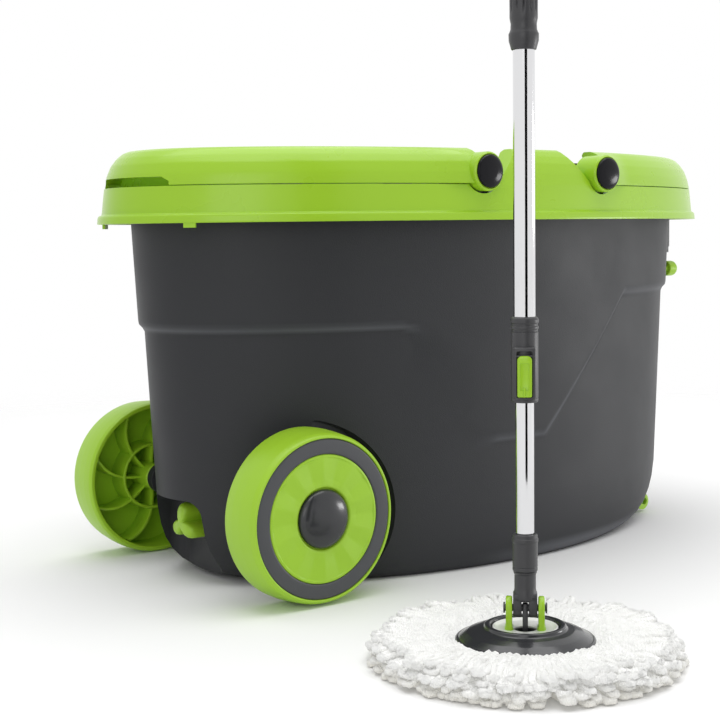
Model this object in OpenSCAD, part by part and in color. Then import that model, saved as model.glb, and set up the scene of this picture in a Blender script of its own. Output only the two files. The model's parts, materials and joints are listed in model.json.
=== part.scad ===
// Spin mop: an oval wheeled bucket with folding carry handles, a spin basket and a
// wash pivot, and beside it a push-to-spin mop with a telescoping handle.
// +Z is up, X is the bucket's long axis with the wheels at -X, and the origin is the
// centre of the bucket's base on the floor.  All sizes are in millimetres.

/* [Bucket] */
// Length of the body where it meets the rim
body_len = 496; // [440:1:560]
// Width of the body where it meets the rim
body_wid = 236; // [224:1:270]
// Height of the body under the rim cover's deck
body_h = 268; // [250:1:320]
// Wall thickness of the body
wall = 3; // [2.4:0.1:4]
// Thickness of the body's floor
floor_t = 4; // [3:0.5:6]
// How far the upper part of the body stands proud of the lower part
relief = 4; // [2:0.5:5]

/* [Rim and handles] */
// How far the rim's skirt overhangs the body
rim_overhang = 22; // [18:1:28]
// Height of the rim's skirt
rim_h = 24; // [20:1:30]
// Height of the handles that lie on the rim
handle_h = 25; // [22:1:30]
// Radial thickness of a handle
handle_t = 9; // [7:1:11]
// Distance of each handle's pivot from the middle of the bucket
pivot_x = 57; // [52:1:70]
// Radius of a handle's pivot pin
pivot_pin_r = 5; // [4:0.5:6]
// Radius of a pivot pin's round cap
pivot_cap_r = 11.3; // [9:0.1:12]

/* [Wheels] */
// Radius of a wheel over its tread
wheel_r = 57; // [52:1:62]
// Width of a wheel
wheel_w = 32; // [26:1:36]
// Distance of the wheel axis behind the middle of the bucket
wheel_x = 187; // [180:1:194]
// Distance from the middle plane to a wheel's outer face
wheel_y = 124; // [118:1:132]
// Radius of a wheel's steel stub axle
axle_r = 4; // [3:0.5:5]

/* [Basket and wash pivot] */
// Inner radius of the spin basket at its mouth
basket_r = 90; // [80:1:92]
// Depth of the spin basket
basket_h = 78; // [60:1:95]
// Distance of the basket's axis from the middle of the bucket
basket_x = 112; // [108:1:116]
// Distance of the wash pivot's axis from the middle of the bucket
wash_x = 100; // [90:1:110]
// Radius of the wash pivot's turning disc
wash_r = 36; // [28:1:44]

/* [Mop head] */
// Outer radius of the ring of yarn
yarn_r = 86; // [76:1:92]
// Radius of the mop plate
plate_r = 39.4; // [36:0.2:44]
// Height of the handle's tilting pin above the floor
tilt_z = 30; // [29:0.5:32]

/* [Mop pole] */
// Outer radius of the lower tube
lower_tube_r = 5.1; // [4.6:0.1:5.6]
// Wall thickness of both tubes
tube_wall = 0.5; // [0.4:0.1:0.8]
// Height of the lock housing's lower end above the floor
lock_z = 145.5; // [140:0.5:170]
// Length of the lock housing
lock_len = 47; // [42:1:56]
// Height of the whole mop above the floor
mop_h = 840; // [760:5:980]
// Rise of the twisted drive rod for one turn
rod_lead = 60; // [50:1:80]

/* [Hidden] */
$fn = 64;
fine = 96;
joint_gap = 0.05;   // radial clearance of a running fit
soft_gap = 0.3;     // clearance between pieces that only pass each other

// Colours
lime = [0.62, 0.80, 0.13];
slate = [0.24, 0.25, 0.27];
charcoal = [0.14, 0.14, 0.15];
steel = [0.80, 0.81, 0.83];
white = [0.95, 0.95, 0.93];

// Bucket levels: [height, half length, half width]
body_a = body_len / 2;
body_b = body_wid / 2;
rim_z = body_h - rim_h + 3;                   // lower edge of the skirt
deck_t = 3;
deck_z = body_h + deck_t;                     // top of the rim's deck, where the handles lie
top_z = deck_z + handle_h;
skirt_a = body_a + rim_overhang;
skirt_b = body_b + rim_overhang - 1;
deck_a = skirt_a - 5.5;
deck_b = skirt_b - 3.7;
top_a = skirt_a - 22.5;
top_b = skirt_b - 17.2;
skirt_levels = [[rim_z, skirt_a, skirt_b], [rim_z + 5, skirt_a - 0.5, skirt_b - 0.5],
                [rim_z + 7, skirt_a - 3, skirt_b - 2], [deck_z, deck_a, deck_b]];
handle_levels = [[deck_z, deck_a, deck_b], [deck_z + 0.6 * handle_h, deck_a - 5, deck_b - 4],
                 [top_z - 4, top_a + 4, top_b + 3], [top_z, top_a, top_b]];
step_z = body_h - 92;                         // where the proud upper part ends at the wheels
step_front_z = body_h - 76;                   // and at the front
lower_levels = [[0, body_a - 63, body_b - 15], [1.5, body_a - 54, body_b - 12],
                [7, body_a - 38, body_b - 9], [24, body_a - 24, body_b - 6.5],
                [46, body_a - 17, body_b - 5.5], [body_h, body_a - relief - 0.5, body_b - relief]];
proud_levels = [[46, body_a - 17, body_b - 5.5], [step_z, body_a - 3, body_b - 0.8],
                [body_h, body_a, body_b]];
// The proud part's outline seen from the side: [along X, height]
proud_outline = [[-body_a - 9, step_z], [-100, step_z], [-90, step_z - 8], [-84, 100], [-43, 93],
                 [19, 93], [112, step_front_z], [body_a + 9, step_front_z],
                 [body_a + 9, body_h + 9], [-body_a - 9, body_h + 9]];

// Wheels and their wells
well_r = wheel_r + 9;
well_x = wheel_x - 11;                        // the well's centre is ahead of the axle and lower
well_z = wheel_r - 7;
well_y = wheel_y - wheel_w - 12;              // flat inner face of a wheel well
boss_r = axle_r + 7;
boss_y = wheel_y - wheel_w - 1;               // where the wheel's hub starts

// Handles
pivot_z = deck_z + 8.5;
eye_r = pivot_cap_r + 2;
eye_y = deck_b + 3;                           // outer face of a handle's eye
eye_in = deck_b - 18.3;                       // inner face of a handle's eye
bracket_w = 22;
bracket_y = eye_in - 8;                       // outer face of a pivot bracket, clear of the folding arm
centre_foot = pivot_x - 11;                   // half length of the rim's raised middle at the deck
centre_top = pivot_x - 35;                    // and at its top
notch_w = 90;                                 // finger notch under each handle's end
notch_h = 6;
notch_slope = 4;

// Drain, at the wheel end
drain_z = 40;
drain_r = 9;
recess_x = body_a - 46;                       // back wall of the drain's recess
recess_w = 60;

// Dispenser, at the front end
dispenser_w = 57;
dispenser_z = body_h - 44;                    // lower edge of the dispenser's plate
button_y = -21;
button_z = body_h - 63;
button_r = 6.5;
button_travel = 5;

// Basket
basket_floor_r = basket_r - 14;
basket_top = deck_z + 2;
basket_z = basket_top - basket_h;
basket_wall = 2;
post_top = basket_z - 6;
basket_pin_r = 4;
rim_hole_r = basket_r + basket_wall + 3;

// Mop
mop_x = -170;
mop_y = -290;
mop_turn = -43.5;                             // the tilting pin faces the bucket's corner
socket_r = 7;
socket_z = tilt_z + 20;
socket_h = 21;
upper_tube_r = lower_tube_r + soft_gap + tube_wall + 0.1;
lock_r = upper_tube_r + 1.5;
lower_tube_top = lock_z + lock_len + 140;
lower_tube_z = socket_z + 3;
rod_w = 5;
rod_t = 3;
rod_z = lock_z + 16;
rod_top = lower_tube_top + 240;
nut_t = 3;
grip_z = lock_z + 191;
grip_len = 130;
top_grip_len = 130;
top_grip_z = mop_h - 30 - top_grip_len;
lever_len = 24;
lever_w = 8;
lever_z = lock_z + 3;                         // lower end of the lever's slot
lever_pivot_z = lever_z + lever_len - 1.2;
lever_pin_r = 0.8;

// ---------- shared shapes ----------

// A closed solid through a stack of ellipses, each [height, half length, half width].
module loft(levels, n = 72) {
    rows = len(levels);
    points = [for (l = levels) for (i = [0 : n - 1])
              [l[1] * cos(360 * i / n), l[2] * sin(360 * i / n), l[0]]];
    sides = [for (k = [0 : rows - 2]) for (i = [0 : n - 1])
             [k * n + i, (k + 1) * n + i, (k + 1) * n + (i + 1) % n, k * n + (i + 1) % n]];
    bottom = [for (i = [0 : n - 1]) i];
    top = [for (i = [n - 1 : -1 : 0]) (rows - 1) * n + i];
    polyhedron(points = points, faces = concat([bottom], sides, [top]), convexity = 4);
}

function inset(levels, d) = [for (l = levels) [l[0], l[1] - d, l[2] - d]];

// Extends a stack's first and last level by a little, so that a cut runs clear.
function overrun(levels, e = 1) =
    concat([[levels[0][0] - e, levels[0][1], levels[0][2]]], levels,
           [[levels[len(levels) - 1][0] + e, levels[len(levels) - 1][1], levels[len(levels) - 1][2]]]);

module tube(r, bore, h) {
    difference() {
        cylinder(r = r, h = h);
        translate([0, 0, -1]) cylinder(r = bore, h = h + 2);
    }
}

// A cylinder along Y from y0 to y1.
module bar_y(r, y0, y1) {
    translate([0, min(y0, y1), 0]) rotate([-90, 0, 0]) cylinder(r = r, h = abs(y1 - y0));
}

// Children on both long sides, given for the +Y side.
module both_sides() {
    children();
    mirror([0, 1, 0]) children();
}

module at_mop() {
    translate([mop_x, mop_y, 0]) rotate([0, 0, mop_turn]) children();
}

// ---------- bucket ----------

module well_space(extra) {
    both_sides() translate([-well_x, 0, well_z])
        bar_y(well_r + extra, well_y - extra, wheel_y + 20);
}

module recess_space(extra) {
    translate([-body_a - 20, -recess_w / 2 - extra, 12 - 20])
        cube([body_a + 20 - recess_x + extra, recess_w + 2 * extra, 20 + 47 + extra]);
}

// Room under each handle's eye.
module eye_pockets() {
    both_sides() for (side = [-1, 1])
        translate([side * pivot_x, 0, pivot_z]) bar_y(eye_r + 1.5, eye_in - 2, skirt_b + 10);
}

module body_form() {
    loft(lower_levels, 60);
    intersection() {
        loft(proud_levels, 60);
        translate([0, skirt_b, 0]) rotate([90, 0, 0])
            linear_extrude(2 * skirt_b) polygon(proud_outline);
    }
}

module bucket_shell() {
    inner_levels = concat([[floor_t, body_a - 60, body_b - 18], [floor_t + 6, body_a - 46, body_b - 14]],
                          [[46, body_a - 17 - wall, body_b - 5.5 - wall],
                           [body_h + 1, body_a - relief - 0.5 - wall, body_b - relief - wall]]);
    color(slate) difference() {
        union() {
            difference() {
                union() {
                    body_form();
                    loft([[body_h - 4, skirt_a - 9, skirt_b - 8], [body_h, skirt_a - 9, skirt_b - 8]], 60);
                }
                difference() {
                    loft(inner_levels, 60);
                    well_space(wall);
                    recess_space(wall);
                }
                well_space(0);
                recess_space(0);
                eye_pockets();
            }
            both_sides() translate([-wheel_x, 0, wheel_r]) bar_y(boss_r, well_y - wall - 12, boss_y);
        }
        both_sides() translate([-wheel_x, 0, wheel_r]) bar_y(axle_r, well_y - wall - 8, boss_y + 1);
        translate([-recess_x - 5, 0, drain_z]) rotate([0, 90, 0]) cylinder(r = drain_r, h = wall + 10);
        translate([body_a - 20, button_y, button_z]) rotate([0, 90, 0]) cylinder(r = 3.4, h = 40);
    }
}

module raised_centre() {
    intersection() {
        difference() {
            loft(handle_levels);
            loft(overrun(inset(handle_levels, handle_t)));
        }
        translate([0, skirt_b + 5, 0]) rotate([90, 0, 0]) linear_extrude(2 * skirt_b + 10)
            polygon([[-centre_foot, deck_z - 1], [centre_foot, deck_z - 1],
                     [centre_top, top_z + 1], [-centre_top, top_z + 1]]);
    }
}

module rim_cover() {
    color(lime) difference() {
        union() {
            difference() {
                loft(skirt_levels);
                loft([[rim_z - 1, skirt_a - wall, skirt_b - wall],
                      [body_h, deck_a - wall, deck_b - wall]]);
            }
            raised_centre();
        }
        intersection() {
            translate([0, 0, body_h - 1])
                loft([[0, body_a - 24, body_b - 18], [9, body_a - 24, body_b - 18]]);
            translate([-body_a, -body_b, 0]) cube([body_a - 14, body_wid, top_z]);
        }
        translate([basket_x, 0, body_h - 1]) cylinder(r = rim_hole_r, h = 20);
        eye_pockets();
    }
}

// Snap clips that hang under the skirt's lower edge, inside its lip.
module rim_clips() {
    clip_w = 8;
    clip_drop = 3;
    color(lime) for (turn = [155, 205])
        translate([(skirt_a - wall / 2) * cos(turn), (skirt_b - wall / 2) * sin(turn), rim_z - clip_drop])
            rotate([0, 0, atan2(skirt_a * sin(turn), skirt_b * cos(turn))])
                translate([-1, -clip_w / 2, 0]) cube([2, clip_w, clip_drop]);
}

module pivot_brackets() {
    color(charcoal) both_sides() for (side = [-1, 1])
        translate([side * pivot_x, 0, 0]) difference() {
            translate([-bracket_w / 2, bracket_y - 11, deck_z])
                cube([bracket_w, 11, 17]);
            translate([0, 0, pivot_z]) bar_y(pivot_pin_r, bracket_y - 9, bracket_y + 1);
        }
}

module pivot_pins() {
    color(charcoal) both_sides() for (side = [-1, 1])
        translate([side * pivot_x, 0, pivot_z]) {
            bar_y(pivot_pin_r, bracket_y - 9, eye_y + 1);
            translate([0, eye_y + 0.4, 0]) rotate([-90, 0, 0]) rotate_extrude()
                polygon([[0, 0], [pivot_cap_r, 0], [pivot_cap_r, 1.2], [pivot_cap_r - 1.5, 2.4], [0, 3.4]]);
        }
}

// The carry handle at the wheel end; the front one is its mirror image.
module handle_form() {
    difference() {
        union() {
            intersection() {
                difference() {
                    loft(handle_levels);
                    loft(overrun(inset(handle_levels, handle_t)));
                }
                translate([-skirt_a - 5, -skirt_b - 5, deck_z + 0.3])
                    cube([skirt_a + 5 - pivot_x - 3, 2 * skirt_b + 10, handle_h]);
            }
            both_sides() translate([-pivot_x, 0, pivot_z]) bar_y(eye_r, eye_in, eye_y);
        }
        both_sides() translate([-pivot_x, 0, pivot_z])
            bar_y(pivot_pin_r + joint_gap, eye_in - 1, eye_y + 1);
        translate([-top_a + 60, 0, deck_z - 1]) rotate([90, 0, -90]) linear_extrude(120)
            polygon([[-notch_w / 2, 0], [notch_w / 2, 0],
                     [notch_w / 2 - notch_slope, notch_h + 1], [-notch_w / 2 + notch_slope, notch_h + 1]]);
    }
}

module handle_rear() {
    color(lime) handle_form();
}

module handle_front() {
    color(lime) mirror([1, 0, 0]) handle_form();
}

// ---------- wheels ----------

// A wheel on its own axis: its inner edge is at 0 and its outer face at wheel_w.
module wheel_form() {
    face = wheel_w - 6;
    hub_r = axle_r + 6;
    ribs = 8;
    difference() {
        union() {
            rotate_extrude($fn = fine) polygon([
                [wheel_r - 4, 0], [wheel_r - 1, 0], [wheel_r, 3], [wheel_r, wheel_w * 0.55],
                [wheel_r - 2.2, wheel_w - 2], [wheel_r - 4, wheel_w], [wheel_r - 4.6, wheel_w],
                [wheel_r - 4.6, face + 3], [wheel_r - 15.2, face + 3], [wheel_r - 15.2, wheel_w - 1],
                [pivot_cap_r + 8.2, wheel_w - 1], [pivot_cap_r + 8.2, face + 3], [hub_r, face + 3],
                [hub_r, face], [wheel_r - 4, face]]);
            cylinder(r = hub_r, h = face + 1);
            difference() {
                translate([0, 0, 9]) cylinder(r = 25, h = face - 8);
                translate([0, 0, 8]) cylinder(r = 23, h = face - 8);
            }
            for (i = [0 : ribs - 1]) rotate([0, 0, 360 / ribs * i])
                translate([hub_r - 1, -1, 9]) cube([wheel_r - hub_r - 2.5, 2, face - 8]);
        }
        translate([0, 0, -1]) cylinder(r = axle_r + joint_gap, h = wheel_w + 2);
    }
}

module at_wheel() {
    translate([-wheel_x, wheel_y - wheel_w, wheel_r]) rotate([-90, 0, 0]) children();
}

module wheel_far() {
    color(lime) at_wheel() wheel_form();
}

module wheel_near() {
    color(lime) mirror([0, 1, 0]) at_wheel() wheel_form();
}

module ring_form() {
    translate([0, 0, wheel_w - 3]) rotate_extrude($fn = fine)
        polygon([[wheel_r - 15.1, 0], [wheel_r - 4.7, 0], [wheel_r - 4.7, 2.2], [wheel_r - 15.1, 2.2]]);
}

module wheel_ring_near() {
    color(slate) mirror([0, 1, 0]) at_wheel() ring_form();
}

module wheel_ring_far() {
    color(slate) at_wheel() ring_form();
}

module hub_cap_form() {
    cap_r = pivot_cap_r + 8;
    translate([0, 0, wheel_w - 3]) difference() {
        rotate_extrude() polygon(concat([[0, 0], [cap_r, 0], [cap_r, 2]],
            [for (t = [10 : 10 : 90]) [cap_r * cos(t), 2 + 4.5 * sin(t)]]));
        translate([0, 0, -1]) cylinder(r = axle_r + 6, h = 4);
    }
}

module hub_cap_near() {
    color(slate) mirror([0, 1, 0]) at_wheel() hub_cap_form();
}

module hub_cap_far() {
    color(slate) at_wheel() hub_cap_form();
}

module wheel_axles() {
    color(steel) both_sides() translate([-wheel_x, 0, wheel_r])
        bar_y(axle_r, well_y - wall - 8, wheel_y - 2.2);
}

module axle_clips() {
    color(steel) both_sides() translate([-wheel_x, wheel_y - wheel_w, wheel_r]) rotate([-90, 0, 0])
        translate([0, 0, wheel_w - 4.6]) tube(axle_r + 3, axle_r, 1.2);
}

// ---------- basket and wash pivot ----------

module basket_post() {
    base_r = 34;
    neck_r = 12;
    color(slate) translate([basket_x, 0, floor_t]) difference() {
        rotate_extrude() polygon([[0, 0], [base_r, 0], [base_r, 4], [neck_r + 8, 14],
                                  [neck_r, post_top - floor_t], [0, post_top - floor_t]]);
        translate([0, 0, post_top - floor_t - 20]) cylinder(r = basket_pin_r, h = 21);
    }
}

module basket_pin() {
    color(steel) translate([basket_x, 0, post_top - 20]) cylinder(r = basket_pin_r, h = 20 + 30);
}

module basket_form() {
    slots = 20;
    difference() {
        rotate_extrude($fn = fine) polygon([
            [11, 0], [basket_floor_r, 0], [basket_floor_r + 5, 4], [basket_r + basket_wall, basket_h - 2],
            [basket_r + basket_wall + 8, basket_h - 2], [basket_r + basket_wall + 8, basket_h],
            [basket_r, basket_h], [basket_floor_r + 3, 5], [basket_floor_r, 2], [11, 2]]);
        for (i = [0 : slots - 1]) rotate([0, 0, 360 / slots * i]) {
            translate([basket_floor_r - 4, -2.5, 12]) cube([40, 5, basket_h - 34]);
            translate([basket_floor_r - 34, -2, -1]) cube([26, 4, 6]);
        }
    }
}

module basket() {
    color(lime) translate([basket_x, 0, basket_z]) basket_form();
}

module basket_hub() {
    color(slate) translate([basket_x, 0, basket_z - 3]) difference() {
        rotate_extrude() polygon([[0, 0], [10.9, 0], [10.9, 5], [16, 5], [14, 9], [9, 34], [0, 38]]);
        translate([0, 0, -1]) cylinder(r = 6.5, h = 31);
    }
}

module basket_bush() {
    color(white) translate([basket_x, 0, basket_z - 3]) tube(6.5, basket_pin_r + joint_gap, 22);
}

module wash_post() {
    color(slate) translate([-wash_x, 0, floor_t]) {
        cylinder(r = 22, h = 3);
        cylinder(r = 9, h = 26);
        cylinder(r = 5, h = 40);
    }
}

module wash_disc() {
    cleats = 6;
    color(lime) translate([-wash_x, 0, floor_t + 26.5]) difference() {
        union() {
            cylinder(r = wash_r, h = 3);
            cylinder(r = 10, h = 18);
            for (i = [0 : cleats - 1]) rotate([0, 0, 360 / cleats * i])
                translate([9, -1.5, 2]) cube([wash_r - 12, 3, 6]);
        }
        translate([0, 0, -1]) cylinder(r = 5 + joint_gap, h = 16);
    }
}

// ---------- drain ----------

module at_drain() {
    translate([-recess_x, 0, drain_z]) rotate([0, -90, 0]) children();
}

module drain_collar() {
    color(charcoal) at_drain() tube(drain_r + 3, drain_r, 4);
}

module drain_cap() {
    lobe_at = 9.5;
    color(lime) at_drain() difference() {
        union() {
            translate([0, 0, 4.6]) cylinder(r = drain_r + 3, h = 8);
            translate([0, 0, -2]) cylinder(r = drain_r - 0.4, h = 8);
            for (turn = [0, 120, 240]) rotate([0, 0, turn]) {
                translate([lobe_at, 0, 8]) cylinder(r = 6.5, h = 12);
                translate([0, -4.5, 8]) cube([lobe_at, 9, 12]);
            }
        }
        translate([0, 0, -3]) cylinder(r = drain_r - 3, h = 8);
    }
}

module drain_seal() {
    color(charcoal) at_drain() translate([0, 0, 4]) tube(drain_r + 2.5, drain_r + 0.2, 0.6);
}

// ---------- dispenser ----------

module dispenser_tank() {
    color(white) difference() {
        intersection() {
            translate([basket_x + rim_hole_r + 2, -dispenser_w / 2, button_z - 16])
                cube([body_a, dispenser_w, body_h - button_z + 8]);
            loft([[0, body_a - relief - wall - 16, body_b - relief - wall - 8],
                  [body_h, body_a - relief - wall - 1, body_b - relief - wall - 1]], 60);
        }
        translate([basket_x + rim_hole_r + 4, -dispenser_w / 2 + 2, button_z + 8])
            cube([body_a - 12 - basket_x - rim_hole_r - 4 - relief - wall, dispenser_w - 4, body_h]);
        translate([body_a - 24, button_y, button_z]) rotate([0, 90, 0]) cylinder(r = 3.6, h = 40);
    }
}

module dispenser_plate() {
    color(charcoal) difference() {
        translate([body_a - 8, -dispenser_w / 2, dispenser_z]) cube([10, dispenser_w, 38]);
        loft([[0, body_a + 0.05, body_b], [body_h + 9, body_a + 0.05, body_b]], 60);
    }
    color(charcoal) translate([body_a + 0.3, -dispenser_w / 2 + 1.5, dispenser_z - 5]) cube([2.5, 4, 5]);
}

module dispenser_button() {
    color(lime) translate([body_a, button_y, button_z]) rotate([0, 90, 0]) {
        translate([0, 0, button_travel]) rotate_extrude()
            polygon(concat([[0, 0], [button_r, 0], [button_r, 7]],
                [for (t = [15 : 15 : 90]) [button_r * cos(t), 7 + 5 * sin(t)]]));
        translate([0, 0, -16]) cylinder(r = 3.3, h = 16 + button_travel + 1);
    }
}

module front_lugs() {
    lug_y = 38;
    color(lime) difference() {
        both_sides() translate([body_a - 43, lug_y - 2, 9]) bar_y(7, 0, 4);
        both_sides() translate([body_a - 41, lug_y - 3, 9]) bar_y(3, 0, 6);
        loft(lower_levels, 60);
    }
}

// ---------- mop head ----------

module yarn_ring() {
    color(white) at_mop() rotate_extrude($fn = fine) polygon([
        [30.6, 0], [yarn_r - 3, 0], [yarn_r, 5], [yarn_r - 7, 12.5], [yarn_r - 20, 16],
        [plate_r + 5, 16], [plate_r + 0.6, 10.2], [30.6, 10.2]]);
}

module yarn_clamp() {
    color(white) at_mop() translate([0, 0, 1.5]) tube(30.3, 21, 8.3);
}

module mop_plate() {
    color(slate) at_mop() rotate_extrude($fn = fine) polygon([
        [19, 10], [plate_r - 1, 10.4], [plate_r, 11.2], [plate_r, 12.4], [plate_r - 2, 13],
        [22.5, 19], [22, 20.6], [20.2, 21], [19, 20], [18.3, 16.6], [6, 16.6], [6, 14.4], [19, 14.4]]);
}

module centre_dish() {
    color(white) at_mop() rotate_extrude($fn = fine) polygon([
        [6.3, 16.7], [17.8, 16.7], [18.5, 19.8], [17, 19.8], [15, 18.4], [6.3, 18.2]]);
}

ear_in = 7;
ear_t = 4.2;
ear_r = 6;

module ear_bracket() {
    color(lime) at_mop() difference() {
        union() {
            translate([0, 0, 14.4]) cylinder(r = 5.9, h = 5.4);
            translate([-ear_in - ear_t, -5.6, 18.5]) cube([2 * (ear_in + ear_t), 11.2, 1.3]);
            for (side = [-1, 1]) {
                x0 = side > 0 ? ear_in : -ear_in - ear_t;
                translate([x0, -ear_r, 18.5]) cube([ear_t, 2 * ear_r, tilt_z - 18.5]);
                translate([x0, 0, tilt_z]) rotate([0, 90, 0]) cylinder(r = ear_r, h = ear_t);
            }
        }
        translate([-20, 0, tilt_z]) rotate([0, 90, 0]) cylinder(r = 2, h = 40);
    }
}

module tilt_pin() {
    reach = ear_in + ear_t;
    color(steel) at_mop() translate([0, 0, tilt_z]) rotate([0, 90, 0]) {
        translate([0, 0, -reach]) cylinder(r = 2, h = 2 * reach);
        for (end = [-reach - 1, reach]) translate([0, 0, end]) cylinder(r = 3, h = 1);
    }
}

module yoke() {
    color(charcoal) at_mop() difference() {
        union() {
            translate([0, 0, tilt_z]) rotate([0, 90, 0]) translate([0, 0, -ear_in + soft_gap])
                cylinder(r = 5.4, h = 2 * (ear_in - soft_gap));
            translate([-ear_in + soft_gap, -5.4, tilt_z]) cube([2 * (ear_in - soft_gap), 10.8, 9]);
            translate([0, 0, tilt_z + 8]) cylinder(r = 5.9, h = socket_z - tilt_z - 7);
        }
        translate([-1.9, -10, tilt_z - 10]) cube([3.8, 20, 14.5]);
        translate([-20, 0, tilt_z]) rotate([0, 90, 0]) cylinder(r = 2 + joint_gap, h = 40);
    }
}

module lower_socket() {
    color(charcoal) at_mop() translate([0, 0, socket_z + 1]) difference() {
        union() {
            cylinder(r = socket_r, h = socket_h);
            translate([0, 0, socket_h - 4]) cylinder(r = socket_r + 0.5, h = 1.5);
        }
        translate([0, 0, 2]) cylinder(r = lower_tube_r, h = socket_h);
    }
}

// ---------- mop pole ----------

module lower_tube() {
    color(steel) at_mop() translate([0, 0, lower_tube_z])
        tube(lower_tube_r, lower_tube_r - tube_wall, lower_tube_top - lower_tube_z);
}

// The nut's slot is wide enough for the twist of the rod through its thickness.
module drive_nut() {
    slack = rod_w / 2 * sin(180 * nut_t / rod_lead);
    color(white) at_mop() translate([0, 0, lower_tube_top - 6]) difference() {
        union() {
            cylinder(r = lower_tube_r - tube_wall, h = 6);
            translate([0, 0, 6]) cylinder(r = lower_tube_r, h = 1);
        }
        translate([0, 0, -1]) cylinder(r = lower_tube_r - tube_wall - 0.9, h = 7 - nut_t + 1);
        translate([-rod_w / 2 - 0.4, -rod_t / 2 - slack - 0.3, -2])
            cube([rod_w + 0.8, rod_t + 2 * slack + 0.6, 12]);
    }
}

module guide_bush() {
    color(white) at_mop() translate([0, 0, lock_z + 2])
        tube(lock_r - 1.2 - joint_gap, lower_tube_r + joint_gap, 8);
}

module lock_housing() {
    color(charcoal) at_mop() difference() {
        union() {
            translate([0, 0, lock_z]) cylinder(r = lock_r, h = lock_len - 8);
            translate([-lever_w / 2 - 2, -lock_r - 1.2, lever_z - 1])
                cube([lever_w + 4, lock_r, lever_len + 5]);
        }
        translate([0, 0, lock_z - 1]) cylinder(r = lower_tube_r + soft_gap, h = lock_len + 2);
        translate([0, 0, lock_z + 1.6]) cylinder(r = lock_r - 1.2, h = 9);
        translate([0, 0, lock_z + 12]) cylinder(r = upper_tube_r, h = lock_len);
        translate([-lever_w / 2 - 0.3, -lock_r - 2, lever_z]) cube([lever_w + 0.6, 3.4, lever_len + 1.5]);
        translate([-lever_w / 2 - 1.6, -lock_r + 0.3 - lever_pin_r, lever_pivot_z]) rotate([0, 90, 0])
            cylinder(r = lever_pin_r, h = lever_w + 3.2);
    }
}

module lock_collar() {
    color(charcoal) at_mop() translate([0, 0, lock_z + lock_len - 8]) difference() {
        union() {
            cylinder(r = lock_r - 0.3, h = 8);
            translate([0, 0, 1]) cylinder(r = lock_r + 0.6, h = 2.2);
            translate([0, 0, 4.6]) cylinder(r = lock_r + 0.6, h = 2.2);
        }
        translate([0, 0, -1]) cylinder(r = upper_tube_r, h = 10);
    }
}

// A thumb lever that hangs from its pin at the top; its lower end swings out.
module lock_lever() {
    back = -lock_r + 0.6;
    thick = 4.2;
    color(lime) at_mop() difference() {
        union() {
            translate([-lever_w / 2, back - thick, lever_z + 0.6]) cube([lever_w, thick, lever_len - 4.6]);
            translate([0, back, lever_z + lever_len - 4]) rotate([90, 0, 0])
                cylinder(r = lever_w / 2, h = thick);
            translate([-lever_w / 2, back - thick - 0.8, lever_z + 4]) cube([lever_w, 1, 1.4]);
        }
        translate([-lever_w, -lock_r + 0.3 - lever_pin_r, lever_pivot_z]) rotate([0, 90, 0])
            cylinder(r = lever_pin_r + joint_gap, h = 2 * lever_w);
    }
}

module lever_pin() {
    color(steel) at_mop() translate([-lever_w / 2 - 1.6, -lock_r + 0.3 - lever_pin_r, lever_pivot_z])
        rotate([0, 90, 0]) cylinder(r = lever_pin_r, h = lever_w + 3.2);
}

module upper_tube() {
    color(steel) at_mop() translate([0, 0, lock_z + 12])
        tube(upper_tube_r, upper_tube_r - tube_wall, top_grip_z + top_grip_len - 10 - lock_z - 12);
}

// A bar twisted evenly along its length, as one closed solid.  Its broad faces are slightly crowned.
module twisted_bar(w, t, length, lead, turn) {
    steps = 12 * ceil(length / lead);
    crown = 0.2;
    corners = [[-w / 2, -t / 2], [0, -t / 2 - crown], [w / 2, -t / 2],
               [w / 2, t / 2], [0, t / 2 + crown], [-w / 2, t / 2]];
    n = len(corners);
    function twist_at(k) = turn + 360 * length * k / steps / lead;
    points = [for (k = [0 : steps]) for (c = corners)
              [c[0] * cos(twist_at(k)) - c[1] * sin(twist_at(k)),
               c[0] * sin(twist_at(k)) + c[1] * cos(twist_at(k)), length * k / steps]];
    // each side panel is two triangles, which share the edge from a corner to the next one's top
    sides = [for (k = [0 : steps - 1]) for (i = [0 : n - 1]) for (half = [0, 1])
             half == 0 ? [n * k + i, n * (k + 1) + i, n * k + (i + 1) % n]
                       : [n * (k + 1) + i, n * (k + 1) + (i + 1) % n, n * k + (i + 1) % n]];
    bottom = [for (i = [0 : n - 1]) i];
    top = [for (i = [n - 1 : -1 : 0]) n * steps + i];
    polyhedron(points = points, faces = concat([bottom], sides, [top]), convexity = 6);
}

// The rod is turned so that it lies along the nut's slot at the nut's middle.
module drive_rod() {
    nut_middle = lower_tube_top + 1 - nut_t / 2;
    color(steel) at_mop() translate([0, 0, rod_z])
        twisted_bar(rod_w, rod_t, rod_top - rod_z, rod_lead, -360 * (nut_middle - rod_z) / rod_lead);
}

module rod_plug() {
    color(white) at_mop() translate([0, 0, rod_top]) cylinder(r = upper_tube_r - tube_wall, h = 14);
}

// A moulded hand grip with lengthwise flutes, standing on its lower end.
module grip_form(length) {
    r = upper_tube_r + 1.6;
    flutes = 12;
    difference() {
        rotate_extrude() polygon([
            [upper_tube_r, 0], [upper_tube_r + 0.8, 0], [r + 0.6, 6], [r + 0.6, 9], [r - 0.5, 12],
            [r - 0.5, 15], [r, 17], [r + 0.6, length * 0.5], [r, length - 8], [r - 1, length],
            [upper_tube_r, length]]);
        for (i = [0 : flutes - 1]) rotate([0, 0, 360 / flutes * i])
            translate([r + 0.7, 0, 20]) cylinder(r = 1, h = length - 34);
    }
}

module lower_grip() {
    color(charcoal) at_mop() translate([0, 0, grip_z]) grip_form(grip_len);
}

module top_grip() {
    color(charcoal) at_mop() translate([0, 0, top_grip_z]) grip_form(top_grip_len);
}

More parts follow.
